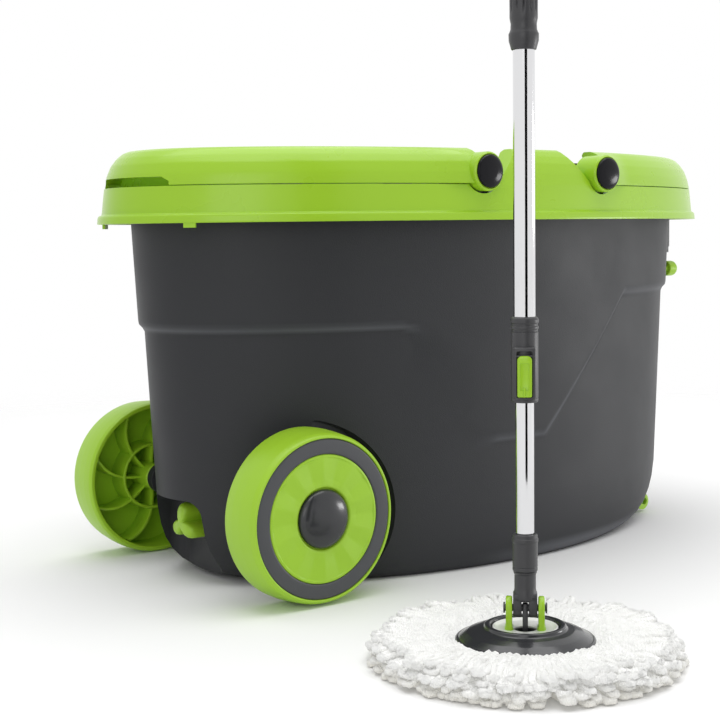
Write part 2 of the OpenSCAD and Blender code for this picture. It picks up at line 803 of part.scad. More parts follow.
module hanging_eye() {
    color(lime) at_mop() translate([0, 0, top_grip_z + top_grip_len]) difference() {
        union() {
            translate([0, 0, -9]) cylinder(r = upper_tube_r - tube_wall, h = 9);
            cylinder(r = upper_tube_r + 0.6, h = 6);
            translate([0, 4, 18]) rotate([90, 0, 0]) cylinder(r = 12, h = 8);
            translate([-upper_tube_r, -4, 4]) cube([2 * upper_tube_r, 8, 8]);
        }
        translate([0, 10, 18]) rotate([90, 0, 0]) cylinder(r = 7, h = 20);
    }
}

bucket_shell();
rim_cover();
rim_clips();
pivot_brackets();
pivot_pins();
handle_rear();
handle_front();
wheel_axles();
axle_clips();
wheel_near();
wheel_far();
wheel_ring_near();
wheel_ring_far();
hub_cap_near();
hub_cap_far();
basket_post();
basket_pin();
basket();
basket_hub();
basket_bush();
wash_post();
wash_disc();
drain_collar();
drain_cap();
drain_seal();
dispenser_tank();
dispenser_plate();
dispenser_button();
front_lugs();
yarn_ring();
yarn_clamp();
mop_plate();
centre_dish();
ear_bracket();
tilt_pin();
yoke();
lower_socket();
lower_tube();
drive_nut();
guide_bush();
lock_housing();
lock_collar();
lock_lever();
lever_pin();
upper_tube();
drive_rod();
rod_plug();
lower_grip();
top_grip();
hanging_eye();
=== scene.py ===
"""Spin mop: the looks of an oval wheeled bucket and of the mop that stands beside it.

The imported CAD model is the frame.  Each operator below makes one piece, or one group of
like pieces, around it.  Lengths inside the makers are in millimetres and every mesh is
written in metres, at its place in the frame.
"""

import json
import math
import random

import bmesh
import bpy
from mathutils import Matrix, Vector


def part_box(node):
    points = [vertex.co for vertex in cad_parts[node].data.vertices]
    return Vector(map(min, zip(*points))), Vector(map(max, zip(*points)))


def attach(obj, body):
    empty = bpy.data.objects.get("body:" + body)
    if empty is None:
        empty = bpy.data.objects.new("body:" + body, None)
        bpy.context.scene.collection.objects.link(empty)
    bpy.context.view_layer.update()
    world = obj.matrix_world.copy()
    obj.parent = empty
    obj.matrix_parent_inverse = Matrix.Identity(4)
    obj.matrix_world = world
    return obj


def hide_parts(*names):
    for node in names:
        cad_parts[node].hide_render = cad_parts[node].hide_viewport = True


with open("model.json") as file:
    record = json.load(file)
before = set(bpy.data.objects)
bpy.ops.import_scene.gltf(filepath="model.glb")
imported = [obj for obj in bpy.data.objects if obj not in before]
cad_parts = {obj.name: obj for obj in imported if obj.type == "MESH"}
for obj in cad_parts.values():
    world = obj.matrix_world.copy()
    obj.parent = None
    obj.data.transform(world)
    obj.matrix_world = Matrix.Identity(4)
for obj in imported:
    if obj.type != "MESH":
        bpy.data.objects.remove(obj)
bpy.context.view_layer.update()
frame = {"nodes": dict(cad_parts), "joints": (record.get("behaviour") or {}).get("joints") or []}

bl_info = {
    "name": "Spin mop",
    "version": (1, 0, 0),
    "blender": (4, 5, 0),
    "location": "View3D > Sidebar > Spin mop",
    "description": "Builds a wheeled spin-mop bucket and its mop around their CAD frame",
    "category": "Add Mesh",
}

MM = 0.001


# ---------- sizes and colours ----------

def node_box(node):
    """A CAD node's lowest and highest corners in millimetres."""
    low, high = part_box(node)
    return low / MM, high / MM


def length_prop(name, description, default):
    return bpy.props.FloatProperty(name=name, description=description, default=default, min=0.0)


def colour_prop(name, description, default):
    return bpy.props.FloatVectorProperty(
        name=name, description=description, default=default, size=3, subtype="COLOR", min=0.0, max=1.0)


RIM_LOW, RIM_HIGH = node_box("rim_cover")
SHELL_TOP = node_box("bucket_shell")[1].z
WHEEL_LOW, WHEEL_HIGH = node_box("wheel_near")
PIN_HIGH = node_box("pivot_pins")[1]
BASKET_LOW, BASKET_HIGH = node_box("basket")
YARN_LOW, YARN_HIGH = node_box("yarn_ring")
PLATE_LOW, PLATE_HIGH = node_box("mop_plate")
TUBE_LOW, TUBE_HIGH = node_box("lower_tube")
UPPER_LOW, UPPER_HIGH = node_box("upper_tube")
SOCKET_LOW, SOCKET_HIGH = node_box("lower_socket")
HOUSING_LOW, HOUSING_HIGH = node_box("lock_housing")
COLLAR_TOP = node_box("lock_collar")[1].z
GRIP_LOW, GRIP_HIGH = node_box("lower_grip")
TOP_GRIP_LOW, TOP_GRIP_HIGH = node_box("top_grip")
JOINTS = {j["name"]: j for j in frame["joints"]}


class SpinMopBucket(bpy.types.PropertyGroup):
    """Sizes of the bucket's moulded pieces, in millimetres."""
    overhang: length_prop("Rim overhang", "How far the skirt stands out past the body", 22.0)
    wall: length_prop("Wall", "Wall thickness of the body", 3.0)
    relief: length_prop("Relief", "How far the body's upper part stands proud", 4.0)
    step_width: length_prop("Step width", "Width of the slope between the two parts of the wall", 6.0)
    handle_depth: length_prop("Handle depth", "Radial thickness of a carry handle", 9.0)


class SpinMopYarn(bpy.types.PropertyGroup):
    """The microfibre yarn of the mop head."""
    loops: bpy.props.IntProperty(
        name="Loops", description="Number of yarn loops in all", default=640, min=20)
    strand: length_prop("Strand radius", "Radius of one strand of yarn", 1.8)
    seed: bpy.props.IntProperty(name="Seed", description="Seed of the loops' wander", default=7)


class SpinMopFinish(bpy.types.PropertyGroup):
    """Colours of the mouldings, the metal and the yarn."""
    lime: colour_prop("Lime", "Glossy lime plastic", (0.33, 0.58, 0.022))
    slate: colour_prop("Slate", "Matte slate plastic of the body", (0.026, 0.027, 0.030))
    charcoal: colour_prop("Charcoal", "Satin charcoal plastic", (0.036, 0.036, 0.039))
    steel: colour_prop("Steel", "Polished steel tube", (0.70, 0.70, 0.71))
    white: colour_prop("White", "White plastic", (0.82, 0.82, 0.80))
    yarn: colour_prop("Yarn", "Microfibre yarn", (0.96, 0.96, 0.94))


def sizes():
    return bpy.context.scene.spin_mop_bucket


def finish_colours():
    return bpy.context.scene.spin_mop_finish


# ---------- shared shader groups ----------

def new_group(name, inputs, outputs):
    """A shader node group with named sockets: (name, socket type, default)."""
    group = bpy.data.node_groups.new(name, "ShaderNodeTree")
    for label, kind, default in inputs:
        socket = group.interface.new_socket(name=label, in_out="INPUT", socket_type=kind)
        if default is not None:
            socket.default_value = default
    for label, kind in outputs:
        group.interface.new_socket(name=label, in_out="OUTPUT", socket_type=kind)
    return group, group.nodes.new("NodeGroupInput"), group.nodes.new("NodeGroupOutput")


def add_node(tree, kind, links=(), **values):
    """A node with its inputs set: each value is a number or colour, each link an output socket."""
    node = tree.nodes.new(kind)
    for key, value in values.items():
        setattr(node, key, value)
    for socket, source in links:
        if isinstance(source, bpy.types.NodeSocket):
            tree.links.new(source, node.inputs[socket])
        else:
            node.inputs[socket].default_value = source
    return node


def grain_group():
    """Fine moulding grain over a slow ripple: a height for Bump, and a roughness that drifts."""
    group, given, out = new_group("moulding_grain", [
        ("Vector", "NodeSocketVector", None), ("Grain Scale", "NodeSocketFloat", 900.0),
        ("Ripple", "NodeSocketFloat", 0.2), ("Roughness", "NodeSocketFloat", 0.4),
        ("Drift", "NodeSocketFloat", 0.08)],
        [("Height", "NodeSocketFloat"), ("Roughness", "NodeSocketFloat")])
    fine = add_node(group, "ShaderNodeTexNoise", [
        ("Vector", given.outputs["Vector"]), ("Scale", given.outputs["Grain Scale"]), ("Detail", 2.0)])
    slow = add_node(group, "ShaderNodeTexNoise", [
        ("Vector", given.outputs["Vector"]), ("Scale", 14.0), ("Detail", 1.0)])
    ripple = add_node(group, "ShaderNodeMath", [(0, slow.outputs[0]), (1, given.outputs["Ripple"])],
                      operation="MULTIPLY")
    height = add_node(group, "ShaderNodeMath", [(0, fine.outputs[0]), (1, ripple.outputs[0])],
                      operation="ADD")
    patch = add_node(group, "ShaderNodeTexNoise", [
        ("Vector", given.outputs["Vector"]), ("Scale", 22.0), ("Detail", 4.0)])
    centred = add_node(group, "ShaderNodeMath", [(0, patch.outputs[0]), (1, 0.5)], operation="SUBTRACT")
    rough = add_node(group, "ShaderNodeMath", [
        (0, centred.outputs[0]), (1, given.outputs["Drift"]), (2, given.outputs["Roughness"])],
        operation="MULTIPLY_ADD")
    group.links.new(height.outputs[0], out.inputs["Height"])
    group.links.new(rough.outputs[0], out.inputs["Roughness"])
    return group


def tone_group():
    """The moulding's colour, a little lighter and darker in slow clouds, with faint specks."""
    group, given, out = new_group("colour_drift", [
        ("Vector", "NodeSocketVector", None), ("Colour", "NodeSocketColor", (0.5, 0.5, 0.5, 1)),
        ("Amount", "NodeSocketFloat", 0.1)],
        [("Colour", "NodeSocketColor")])
    cloud = add_node(group, "ShaderNodeTexNoise", [
        ("Vector", given.outputs["Vector"]), ("Scale", 9.0), ("Detail", 5.0)])
    speck = add_node(group, "ShaderNodeTexNoise", [
        ("Vector", given.outputs["Vector"]), ("Scale", 1400.0), ("Detail", 1.0)])
    both = add_node(group, "ShaderNodeMath", [(0, speck.outputs[0]), (1, 0.25), (2, cloud.outputs[0])],
                    operation="MULTIPLY_ADD")
    span = add_node(group, "ShaderNodeMath", [(0, both.outputs[0]), (1, 0.62)], operation="SUBTRACT")
    gain = add_node(group, "ShaderNodeMath", [
        (0, span.outputs[0]), (1, given.outputs["Amount"]), (2, 1.0)], operation="MULTIPLY_ADD")
    shade = add_node(group, "ShaderNodeVectorMath", [
        (0, given.outputs["Colour"]), ("Scale", gain.outputs[0])], operation="SCALE")
    group.links.new(shade.outputs[0], out.inputs["Colour"])
    return group


def shared_group(name):
    makers = {"moulding_grain": grain_group, "colour_drift": tone_group}
    return bpy.data.node_groups.get(name) or makers[name]()


def object_vector(tree):
    return add_node(tree, "ShaderNodeTexCoord").outputs["Object"]


def group_node(tree, name, links):
    node = tree.nodes.new("ShaderNodeGroup")
    node.node_tree = shared_group(name)
    for socket, source in links:
        if isinstance(source, bpy.types.NodeSocket):
            tree.links.new(source, node.inputs[socket])
        else:
            node.inputs[socket].default_value = source
    return node


def new_material(name):
    material = bpy.data.materials.new(name)
    material.use_nodes = True
    tree = material.node_tree
    return material, tree, tree.nodes["Principled BSDF"]


# ---------- materials ----------

def moulded_plastic(name, colour, roughness, grain=0.1, drift=0.1, coat=0.0, grain_scale=900.0,
                    specular=0.5):
    """Injection-moulded plastic with its grain, a drifting tone and an optional clear gloss."""
    found = bpy.data.materials.get(name)
    if found:
        return found
    material, tree, shader = new_material(name)
    place = object_vector(tree)
    tone = group_node(tree, "colour_drift", [
        ("Vector", place), ("Colour", (*colour, 1)), ("Amount", drift)])
    skin = group_node(tree, "moulding_grain", [
        ("Vector", place), ("Grain Scale", grain_scale), ("Roughness", roughness),
        ("Drift", 0.35 * roughness)])
    bump = add_node(tree, "ShaderNodeBump", [
        ("Height", skin.outputs["Height"]), ("Strength", grain), ("Distance", 0.0003)])
    tree.links.new(tone.outputs["Colour"], shader.inputs["Base Color"])
    tree.links.new(skin.outputs["Roughness"], shader.inputs["Roughness"])
    tree.links.new(bump.outputs[0], shader.inputs["Normal"])
    shader.inputs["Coat Weight"].default_value = coat
    shader.inputs["Coat Roughness"].default_value = 0.12
    shader.inputs["Specular IOR Level"].default_value = specular
    return material


def lime_gloss():
    return moulded_plastic("lime_gloss_plastic", finish_colours().lime, 0.28, grain=0.05, drift=0.10,
                           coat=0.12, specular=0.35)


def lime_satin():
    return moulded_plastic("lime_satin_plastic", finish_colours().lime, 0.42, grain=0.10, drift=0.12)


def slate_matte():
    return moulded_plastic("slate_matte_plastic", finish_colours().slate, 0.50, grain=0.35, drift=0.10,
                           grain_scale=1300.0, specular=0.28)


PAINTED_HIGHLIGHT_GAIN = 3.6  # how much paler the slate is where a highlight is painted on


def slate_shell():
    """The body's slate, paler where a highlight is painted on along the step's slope and round the foot."""
    found = bpy.data.materials.get("slate_shell_plastic")
    if found:
        return found
    material = slate_matte().copy()
    material.name = "slate_shell_plastic"
    tree = material.node_tree
    shader = tree.nodes["Principled BSDF"]
    tone = shader.inputs["Base Color"].links[0].from_socket
    # painted highlight: where the attribute is high, the slate is mixed towards a paler grey in place of
    # the bright floor's reflection
    highlight_attribute = add_node(tree, "ShaderNodeAttribute", attribute_name="burnish")
    painted_highlight_colour = [PAINTED_HIGHLIGHT_GAIN * c for c in finish_colours().slate] + [1]
    pale = add_node(tree, "ShaderNodeMix", [("Factor", highlight_attribute.outputs["Fac"]), ("A", tone), ("B", painted_highlight_colour)],
                    data_type="RGBA")
    tree.links.new(pale.outputs["Result"], shader.inputs["Base Color"])
    return material


def slate_satin():
    """The slate of the wheels' inlays, twice as light as the body's."""
    paler = [2.0 * c for c in finish_colours().slate]
    return moulded_plastic("slate_satin_plastic", paler, 0.42, grain=0.15, drift=0.10)


def slate_gloss():
    return moulded_plastic("slate_gloss_plastic", finish_colours().slate, 0.22, grain=0.04, drift=0.08,
                           coat=0.25, specular=0.35)


def charcoal_satin():
    return moulded_plastic("charcoal_satin_plastic", finish_colours().charcoal, 0.40, grain=0.22,
                           drift=0.10)


def cap_black():
    return moulded_plastic("cap_black_gloss", (0.006, 0.006, 0.008), 0.16, grain=0.02, drift=0.05,
                           specular=0.16)


def white_gloss():
    return moulded_plastic("white_gloss_plastic", finish_colours().white, 0.25, grain=0.05, drift=0.04,
                           coat=0.3)


def seal_rubber():
    return moulded_plastic("seal_rubber", (0.02, 0.02, 0.021), 0.75, grain=0.4, drift=0.15)


def polished_steel(name="polished_tube_steel", roughness=0.07, drawn=0.04):
    """Polished steel tube: faint draw lines along its length and a slow change of polish."""
    found = bpy.data.materials.get(name)
    if found:
        return found
    material, tree, shader = new_material(name)
    place = object_vector(tree)
    stretch = add_node(tree, "ShaderNodeMapping", [("Vector", place), ("Scale", (1.0, 1.0, 0.01))])
    lines = add_node(tree, "ShaderNodeTexNoise", [
        ("Vector", stretch.outputs[0]), ("Scale", 2600.0), ("Detail", 2.0)])
    bump = add_node(tree, "ShaderNodeBump", [
        ("Height", lines.outputs[0]), ("Strength", drawn), ("Distance", 0.0001)])
    cloud = add_node(tree, "ShaderNodeTexNoise", [("Vector", place), ("Scale", 30.0), ("Detail", 3.0)])
    rough = add_node(tree, "ShaderNodeMapRange", [
        ("Value", cloud.outputs[0]), ("From Min", 0.3), ("From Max", 0.7),
        ("To Min", roughness * 0.7), ("To Max", roughness * 1.4)])
    tone = group_node(tree, "colour_drift", [
        ("Vector", place), ("Colour", (*finish_colours().steel, 1)), ("Amount", 0.05)])
    tree.links.new(tone.outputs["Colour"], shader.inputs["Base Color"])
    tree.links.new(rough.outputs[0], shader.inputs["Roughness"])
    tree.links.new(bump.outputs[0], shader.inputs["Normal"])
    shader.inputs["Metallic"].default_value = 1.0
    return material


def drawn_steel():
    return polished_steel("drawn_pin_steel", roughness=0.28, drawn=0.15)


def microfibre():
    """Soft white yarn: short pile as bump, painted shade that makes it darker and warmer towards the
    bottom, and a sheen.
    """
    found = bpy.data.materials.get("microfibre_yarn")
    if found:
        return found
    material, tree, shader = new_material("microfibre_yarn")
    place = object_vector(tree)
    pile = add_node(tree, "ShaderNodeTexNoise", [
        ("Vector", place), ("Scale", 1500.0), ("Detail", 3.0)])
    tufts = add_node(tree, "ShaderNodeTexVoronoi", [("Vector", place), ("Scale", 620.0)])
    rough_pile = add_node(tree, "ShaderNodeMath", [
        (0, tufts.outputs["Distance"]), (1, -0.8), (2, pile.outputs[0])], operation="MULTIPLY_ADD")
    strand = add_node(tree, "ShaderNodeUVMap", uv_map="strand")
    wrap = add_node(tree, "ShaderNodeSeparateXYZ", [(0, strand.outputs[0])])
    climb = add_node(tree, "ShaderNodeMath", [(0, wrap.outputs["X"]), (1, 1.5), (2, wrap.outputs["Y"])],
                     operation="MULTIPLY_ADD")
    cycle = add_node(tree, "ShaderNodeMath", [(0, climb.outputs[0]), (1, 2 * math.tau)],
                     operation="MULTIPLY")
    twist = add_node(tree, "ShaderNodeMath", [(0, cycle.outputs[0])], operation="SINE")
    height = add_node(tree, "ShaderNodeMath", [
        (0, twist.outputs[0]), (1, 0.35), (2, rough_pile.outputs[0])], operation="MULTIPLY_ADD")
    bump = add_node(tree, "ShaderNodeBump", [
        ("Height", height.outputs[0]), ("Strength", 0.75), ("Distance", 0.0007)])
    depth = add_node(tree, "ShaderNodeSeparateXYZ", [(0, place)])
    # painted shade: the yarn's colour darkens to a warm grey towards the bottom, where the loops lie in
    # shade
    low = add_node(tree, "ShaderNodeMapRange", [
        ("Value", depth.outputs["Z"]), ("From Min", 0.0), ("From Max", 0.009)])
    tone = add_node(tree, "ShaderNodeMix", [
        ("Factor", low.outputs[0]), ("A", (0.80, 0.775, 0.69, 1)), ("B", (*finish_colours().yarn, 1))],
        data_type="RGBA")
    shade = group_node(tree, "colour_drift", [
        ("Vector", place), ("Colour", tone.outputs["Result"]), ("Amount", 0.10)])
    tree.links.new(shade.outputs["Colour"], shader.inputs["Base Color"])
    tree.links.new(bump.outputs[0], shader.inputs["Normal"])
    shader.inputs["Roughness"].default_value = 0.9
    # painted light: a faint white glow makes the yarn look brighter than its lighting does
    shader.inputs["Emission Color"].default_value = (*finish_colours().yarn, 1)
    shader.inputs["Emission Strength"].default_value = 0.12
    shader.inputs["Sheen Weight"].default_value = 0.5
    shader.inputs["Sheen Roughness"].default_value = 0.4
    shader.inputs["Subsurface Weight"].default_value = 0.25
    shader.inputs["Subsurface Radius"].default_value = (0.003, 0.003, 0.003)
    shader.inputs["Subsurface Scale"].default_value = 1.0
    return material


# ---------- shared shapes ----------

def smoothstep(low, high, value):
    t = max(0.0, min(1.0, (value - low) / (high - low)))
    return t * t * (3 - 2 * t)


def between(stops, value):
    """The rows of stops are (position, a, b, ...); returns (a, b, ...) at value, in straight lines."""
    if value <= stops[0][0]:
        return stops[0][1:]
    for below, above in zip(stops, stops[1:]):
        if value <= above[0]:
            t = (value - below[0]) / (above[0] - below[0])
            return tuple(p + (q - p) * t for p, q in zip(below[1:], above[1:]))
    return stops[-1][1:]


def rounded(points, radius, steps=3, closed=True):
    """The outline with each corner turned into a short arc, no longer than its edges allow."""
    made = []
    count = len(points)
    for i, here in enumerate(points):
        if not closed and i in (0, count - 1):
            made.append(here)
            continue
        before, after = points[i - 1], points[(i + 1) % count]
        corner, one, two = Vector(here), Vector(before), Vector(after)
        reach = min(radius, 0.45 * (one - corner).length, 0.45 * (two - corner).length)
        start = corner + (one - corner).normalized() * reach
        end = corner + (two - corner).normalized() * reach
        for k in range(steps + 1):
            t = k / steps
            made.append(tuple(start * (1 - t) ** 2 + corner * 2 * t * (1 - t) + end * t * t))
    return made


def lofted(rings, segments, place, close_ends=False):
    """A tube of rings of points; place(ring, turn) gives each point, the turn in radians."""
    bm = bmesh.new()
    bmesh.ops.create_circle(bm, segments=segments, radius=1.0)
    edges = list(bm.edges)
    for _ in range(1, rings):
        grown = bmesh.ops.extrude_edge_only(bm, edges=edges)["geom"]
        verts = [g for g in grown if isinstance(g, bmesh.types.BMVert)]
        bmesh.ops.translate(bm, verts=verts, vec=(0, 0, 1))
        new = set(verts)
        edges = [g for g in grown if isinstance(g, bmesh.types.BMEdge) and set(g.verts) <= new]
    for vert in bm.verts:
        vert.co = place(round(vert.co.z), math.atan2(vert.co.y, vert.co.x))
    if close_ends:
        bmesh.ops.holes_fill(bm, edges=[e for e in bm.edges if e.is_boundary])
    bmesh.ops.remove_doubles(bm, verts=bm.verts, dist=1e-4)
    bmesh.ops.recalc_face_normals(bm, faces=bm.faces)
    return bm


def turned(profile, segments=96, radius=0.6, steps=3, closed=True):
    """A piece turned about Z from its outline, given as (radius, height) points."""
    bm = bmesh.new()
    outline = rounded(profile, radius, steps, closed) if radius else profile
    verts = [bm.verts.new((r, 0.0, z)) for r, z in outline]
    pairs = zip(verts, verts[1:] + verts[:1]) if closed else zip(verts, verts[1:])
    edges = [bm.edges.new(pair) for pair in pairs]
    bmesh.ops.spin(bm, geom=verts + edges, cent=(0, 0, 0), axis=(0, 0, 1), angle=math.tau,
                   steps=segments, use_merge=True)
    bmesh.ops.remove_doubles(bm, verts=bm.verts, dist=1e-4)
    bmesh.ops.recalc_face_normals(bm, faces=bm.faces)
    return bm


def quarter_oval(a, b, steps=8):
    """Points of a quarter of an oval, from (a, 0) to (0, b)."""
    turns = [k * math.pi / (2 * steps) for k in range(steps + 1)]
    return [(a * math.cos(turn), b * math.sin(turn)) for turn in turns]


def half_oval(a, b, steps=12):
    """Points of half an oval, from (a, 0) over (0, b) to (-a, 0)."""
    turns = [k * math.pi / steps for k in range(steps + 1)]
    return [(a * math.cos(turn), b * math.sin(turn)) for turn in turns]


def block(size, centre, edge=0.6, segments=2):
    """A block with softened edges."""
    bm = bmesh.new()
    bmesh.ops.create_cube(bm, size=1.0)
    bmesh.ops.scale(bm, vec=size, verts=bm.verts)
    bmesh.ops.bevel(bm, geom=list(bm.edges), offset=edge, segments=segments, profile=0.5,
                    affect="EDGES", material=-1)
    bmesh.ops.translate(bm, verts=bm.verts, vec=centre)
    return bm


def drum(radius, length, edge=0.6, segments=48):
    """A cylinder standing on its lower end, with softened rims."""
    profile = [(0.0, 0.0), (radius, 0.0), (radius, length), (0.0, length)]
    return turned(profile, segments, edge, closed=False)


def slab(outline, thickness, edge=0.5):
    """An outline in the XY plane, pushed up by the thickness, with softened edges."""
    bm = bmesh.new()
    face = bm.faces.new([bm.verts.new((x, y, 0.0)) for x, y in outline])
    up = [g for g in bmesh.ops.extrude_face_region(bm, geom=[face])["geom"]
          if isinstance(g, bmesh.types.BMVert)]
    bmesh.ops.translate(bm, verts=up, vec=(0, 0, thickness))
    bmesh.ops.recalc_face_normals(bm, faces=bm.faces)
    if edge:
        rims = [e for e in bm.edges if len(e.link_faces) == 2 and e.calc_face_angle(0) > 0.9]
        bmesh.ops.bevel(bm, geom=rims, offset=edge, segments=2, profile=0.5, affect="EDGES",
                        material=-1)
    return bm


# Stands an outline drawn in the XY plane up in the YZ plane, with its thickness along +X
UPRIGHT = Matrix(((0, 0, 1, 0), (1, 0, 0, 0), (0, 1, 0, 0), (0, 0, 0, 1)))


def upright(bm, x):
    """Stands a slab up in the YZ plane with its lower face at x."""
    bm = moved(bm, Matrix.Translation((x, 0, 0)) @ UPRIGHT)
    bmesh.ops.recalc_face_normals(bm, faces=bm.faces)
    return bm


def moved(bm, matrix):
    bmesh.ops.transform(bm, matrix=matrix, verts=bm.verts)
    return bm


def merged(*parts):
    """Several bmeshes as one."""
    whole = bmesh.new()
    for part in parts:
        mesh = bpy.data.meshes.new("part")
        part.to_mesh(mesh)
        part.free()
        whole.from_mesh(mesh)
        bpy.data.meshes.remove(mesh)
    return whole


def as_object(bm, name, material, sharp=35.0):
    """The bmesh, in millimetres, as an object in metres with its material and smooth shading."""
    mesh = bpy.data.meshes.new(name)
    bmesh.ops.scale(bm, vec=(MM, MM, MM), verts=bm.verts)
    bm.to_mesh(mesh)
    bm.free()
    mesh.shade_smooth()
    mesh.set_sharp_from_angle(angle=math.radians(sharp))
    mesh.materials.append(material)
    piece = bpy.data.objects.new(name, mesh)
    bpy.context.scene.collection.objects.link(piece)
    return piece


def cut(piece, *cutters):
    """Takes the cutters' shapes out of the piece for good."""
    for cutter in cutters:
        tool = as_object(cutter, "cutter", piece.data.materials[0])
        modifier = piece.modifiers.new("cut", "BOOLEAN")
        modifier.operation = "DIFFERENCE"
        modifier.solver = "EXACT"
        modifier.object = tool
        apply_modifiers(piece)
        if not piece.data.polygons:
            raise RuntimeError(f"nothing is left of {piece.name} after a cut")
        mesh = tool.data
        bpy.data.objects.remove(tool)
        bpy.data.meshes.remove(mesh)
    piece.data.set_sharp_from_angle(angle=math.radians(35))
    return piece


def apply_modifiers(piece):
    depsgraph = bpy.context.evaluated_depsgraph_get()
    final = bpy.data.meshes.new_from_object(piece.evaluated_get(depsgraph))
    piece.modifiers.clear()
    old = piece.data
    name = old.name
    piece.data = final
    bpy.data.meshes.remove(old)
    final.name = name


def settle(piece, body, slot, *nodes):
    """The finished piece rides on its body and stands for its CAD nodes, which are hidden; the slot is not
    used.
    """
    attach(piece, body)
    if nodes:
        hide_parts(*nodes)
    return piece


# ---------- bucket ----------

FLOOR_T = 4.0        # thickness of the body's floor
DECK_T = 3.0         # thickness of the rim's deck, which lies on the body
STEP_REAR = 92.0     # how far below the body's top the wall steps in on the wheel side
STEP_FRONT = 76.0    # and at the basket's end
WELL_GAP = 9.0       # room round a wheel in its well
WELL_FORWARD = 11.0  # how far the well's middle lies in front of the wheel's
WELL_DROP = 7.0      # and below it
WELL_BACK = 12.0     # from a wheel's inner face to the well's wall
RECESS_IN = 46.0     # from the body's rear end to the wall of the drain's recess
RECESS_TOP = 59.0    # height of the recess
RECESS_ROUND = 11.0  # radius on its edges
SPOUT_R = 9.0        # radius of the drain hole
FLANGE_OUT = 12.5    # how far the flange under the deck reaches out
FLANGE_IN = 6.0      # and in
FLANGE_T = 4.0       # thickness of the flange
OUTER_SHARE = 0.985  # a point further out than this share of the oval is on the outer face


def bucket_facts():
    """The bucket's driving sizes in millimetres, read from the frame."""
    s = sizes()
    facts = {
        "skirt_a": RIM_HIGH.x, "skirt_b": RIM_HIGH.y, "rim_z": RIM_LOW.z, "top_z": RIM_HIGH.z,
        "body_h": SHELL_TOP, "a": RIM_HIGH.x - s.overhang, "b": RIM_HIGH.y - s.overhang + 1.0,
        "deck_z": SHELL_TOP + DECK_T, "pivot": Vector(JOINTS["rear_handle_fold"]["pos_m"]) / MM,
        "wheel": Vector(JOINTS["near_wheel_spin"]["pos_m"]) / MM,
    }
    facts["wheel_r"] = facts["wheel"].z
    facts["eye_r"] = PIN_HIGH.x + facts["pivot"].x + 2.0
    facts["wheel_out"] = -WHEEL_LOW.y
    facts["wheel_in"] = -WHEEL_HIGH.y
    facts["well_r"] = facts["wheel_r"] + WELL_GAP
    facts["well_x"] = facts["wheel"].x + WELL_FORWARD
    facts["well_z"] = facts["wheel_r"] - WELL_DROP
    facts["well_y"] = facts["wheel_in"] - WELL_BACK
    facts["recess_x"] = RECESS_IN - facts["a"]
    facts["drain_z"] = JOINTS["drain_cap_turn"]["pos_m"][2] / MM
    return facts


def step_distance(p, a, b):
    """Signed and plain distance of p from the step's stretch a-b, and the slope's half width there."""
    start, along = Vector(a[:2]), Vector(b[:2]) - Vector(a[:2])
    t = max(0.0, min(1.0, (p - start).dot(along) / along.length_squared))
    gap = (p - (start + along * t)).length
    side = along.x * (p - start).y - along.y * (p - start).x
    return math.copysign(gap, side), gap, a[2] + (b[2] - a[2]) * t


def step_slope(x, z, f):
    """How proud the wall stands, from 0 set back to 1 proud, and how crisp the step is there.

    The step is crisp along the top of the wheel side and up the diagonal, and it melts into the
    wall between them.
    """
    rear, front = f["body_h"] - STEP_REAR, f["body_h"] - STEP_FRONT
    half = sizes().step_width / 2
    past = f["a"] + 40
    line = [(-past, rear, half), (-106, rear, half), (-95, rear - 3, 1.5 * half),
            (-87, rear - 12, 4 * half), (-80, rear - 34, 11 * half), (-72, 96, 11 * half),
            (-45, 92, 3.5 * half), (-28, 93, half), (19, 93, half), (112, front, half),
            (past, front, half)]
    found = min((step_distance(Vector((x, z)), p, q) for p, q in zip(line, line[1:])),
                key=lambda reach: reach[1])
    return smoothstep(-found[2], found[2], found[0]), half / found[2]


def wall_levels(f):
    """Half length and half width of the set-back wall at each height."""
    a, b = f["a"], f["b"]
    return [(0.0, a - 63, b - 15), (1.2, a - 56, b - 12.6), (4.0, a - 46, b - 10.4),
            (9.0, a - 36, b - 8.6), (16.0, a - 28.5, b - 7.4), (25.0, a - 23, b - 6.4),
            (35.0, a - 19.4, b - 5.8), (48.0, a - 17, b - 5.4), (f["body_h"], a - 4.5, b - 4.0)]


def body_half(x, z, f):
    """Half length and half width of the body's outer wall at height z, near x."""
    a, b = between(wall_levels(f), z)
    stand = sizes().relief * smoothstep(30.0, f["body_h"] - STEP_REAR, z)
    proud = step_slope(x, z, f)[0] * stand
    return a + proud, b + proud


FOOT_LEVELS = (0.0, 0.5, 1.2, 2.5, 4.0, 6.5, 9.0, 12.5, 16.0, 20.0, 25.0, 30.0, 35.0, 41.0, 48.0)
WALL_RISE = 2.6      # from one ring of the wall's mesh to the next


def body_outer(f):
    """The body's outer form as one closed solid."""
    heights = list(FOOT_LEVELS)
    while heights[-1] + WALL_RISE < f["rim_z"] - 2:
        heights.append(heights[-1] + WALL_RISE)
    heights.append(f["body_h"])
    rings = len(heights)

    def place(ring, turn):
        z = heights[ring]
        a, b = between(wall_levels(f), z)
        x = a * math.cos(turn)
        a, b = body_half(x, z, f)
        return Vector((a * math.cos(turn), b * math.sin(turn), z))

    return lofted(rings, 560, place, close_ends=True)


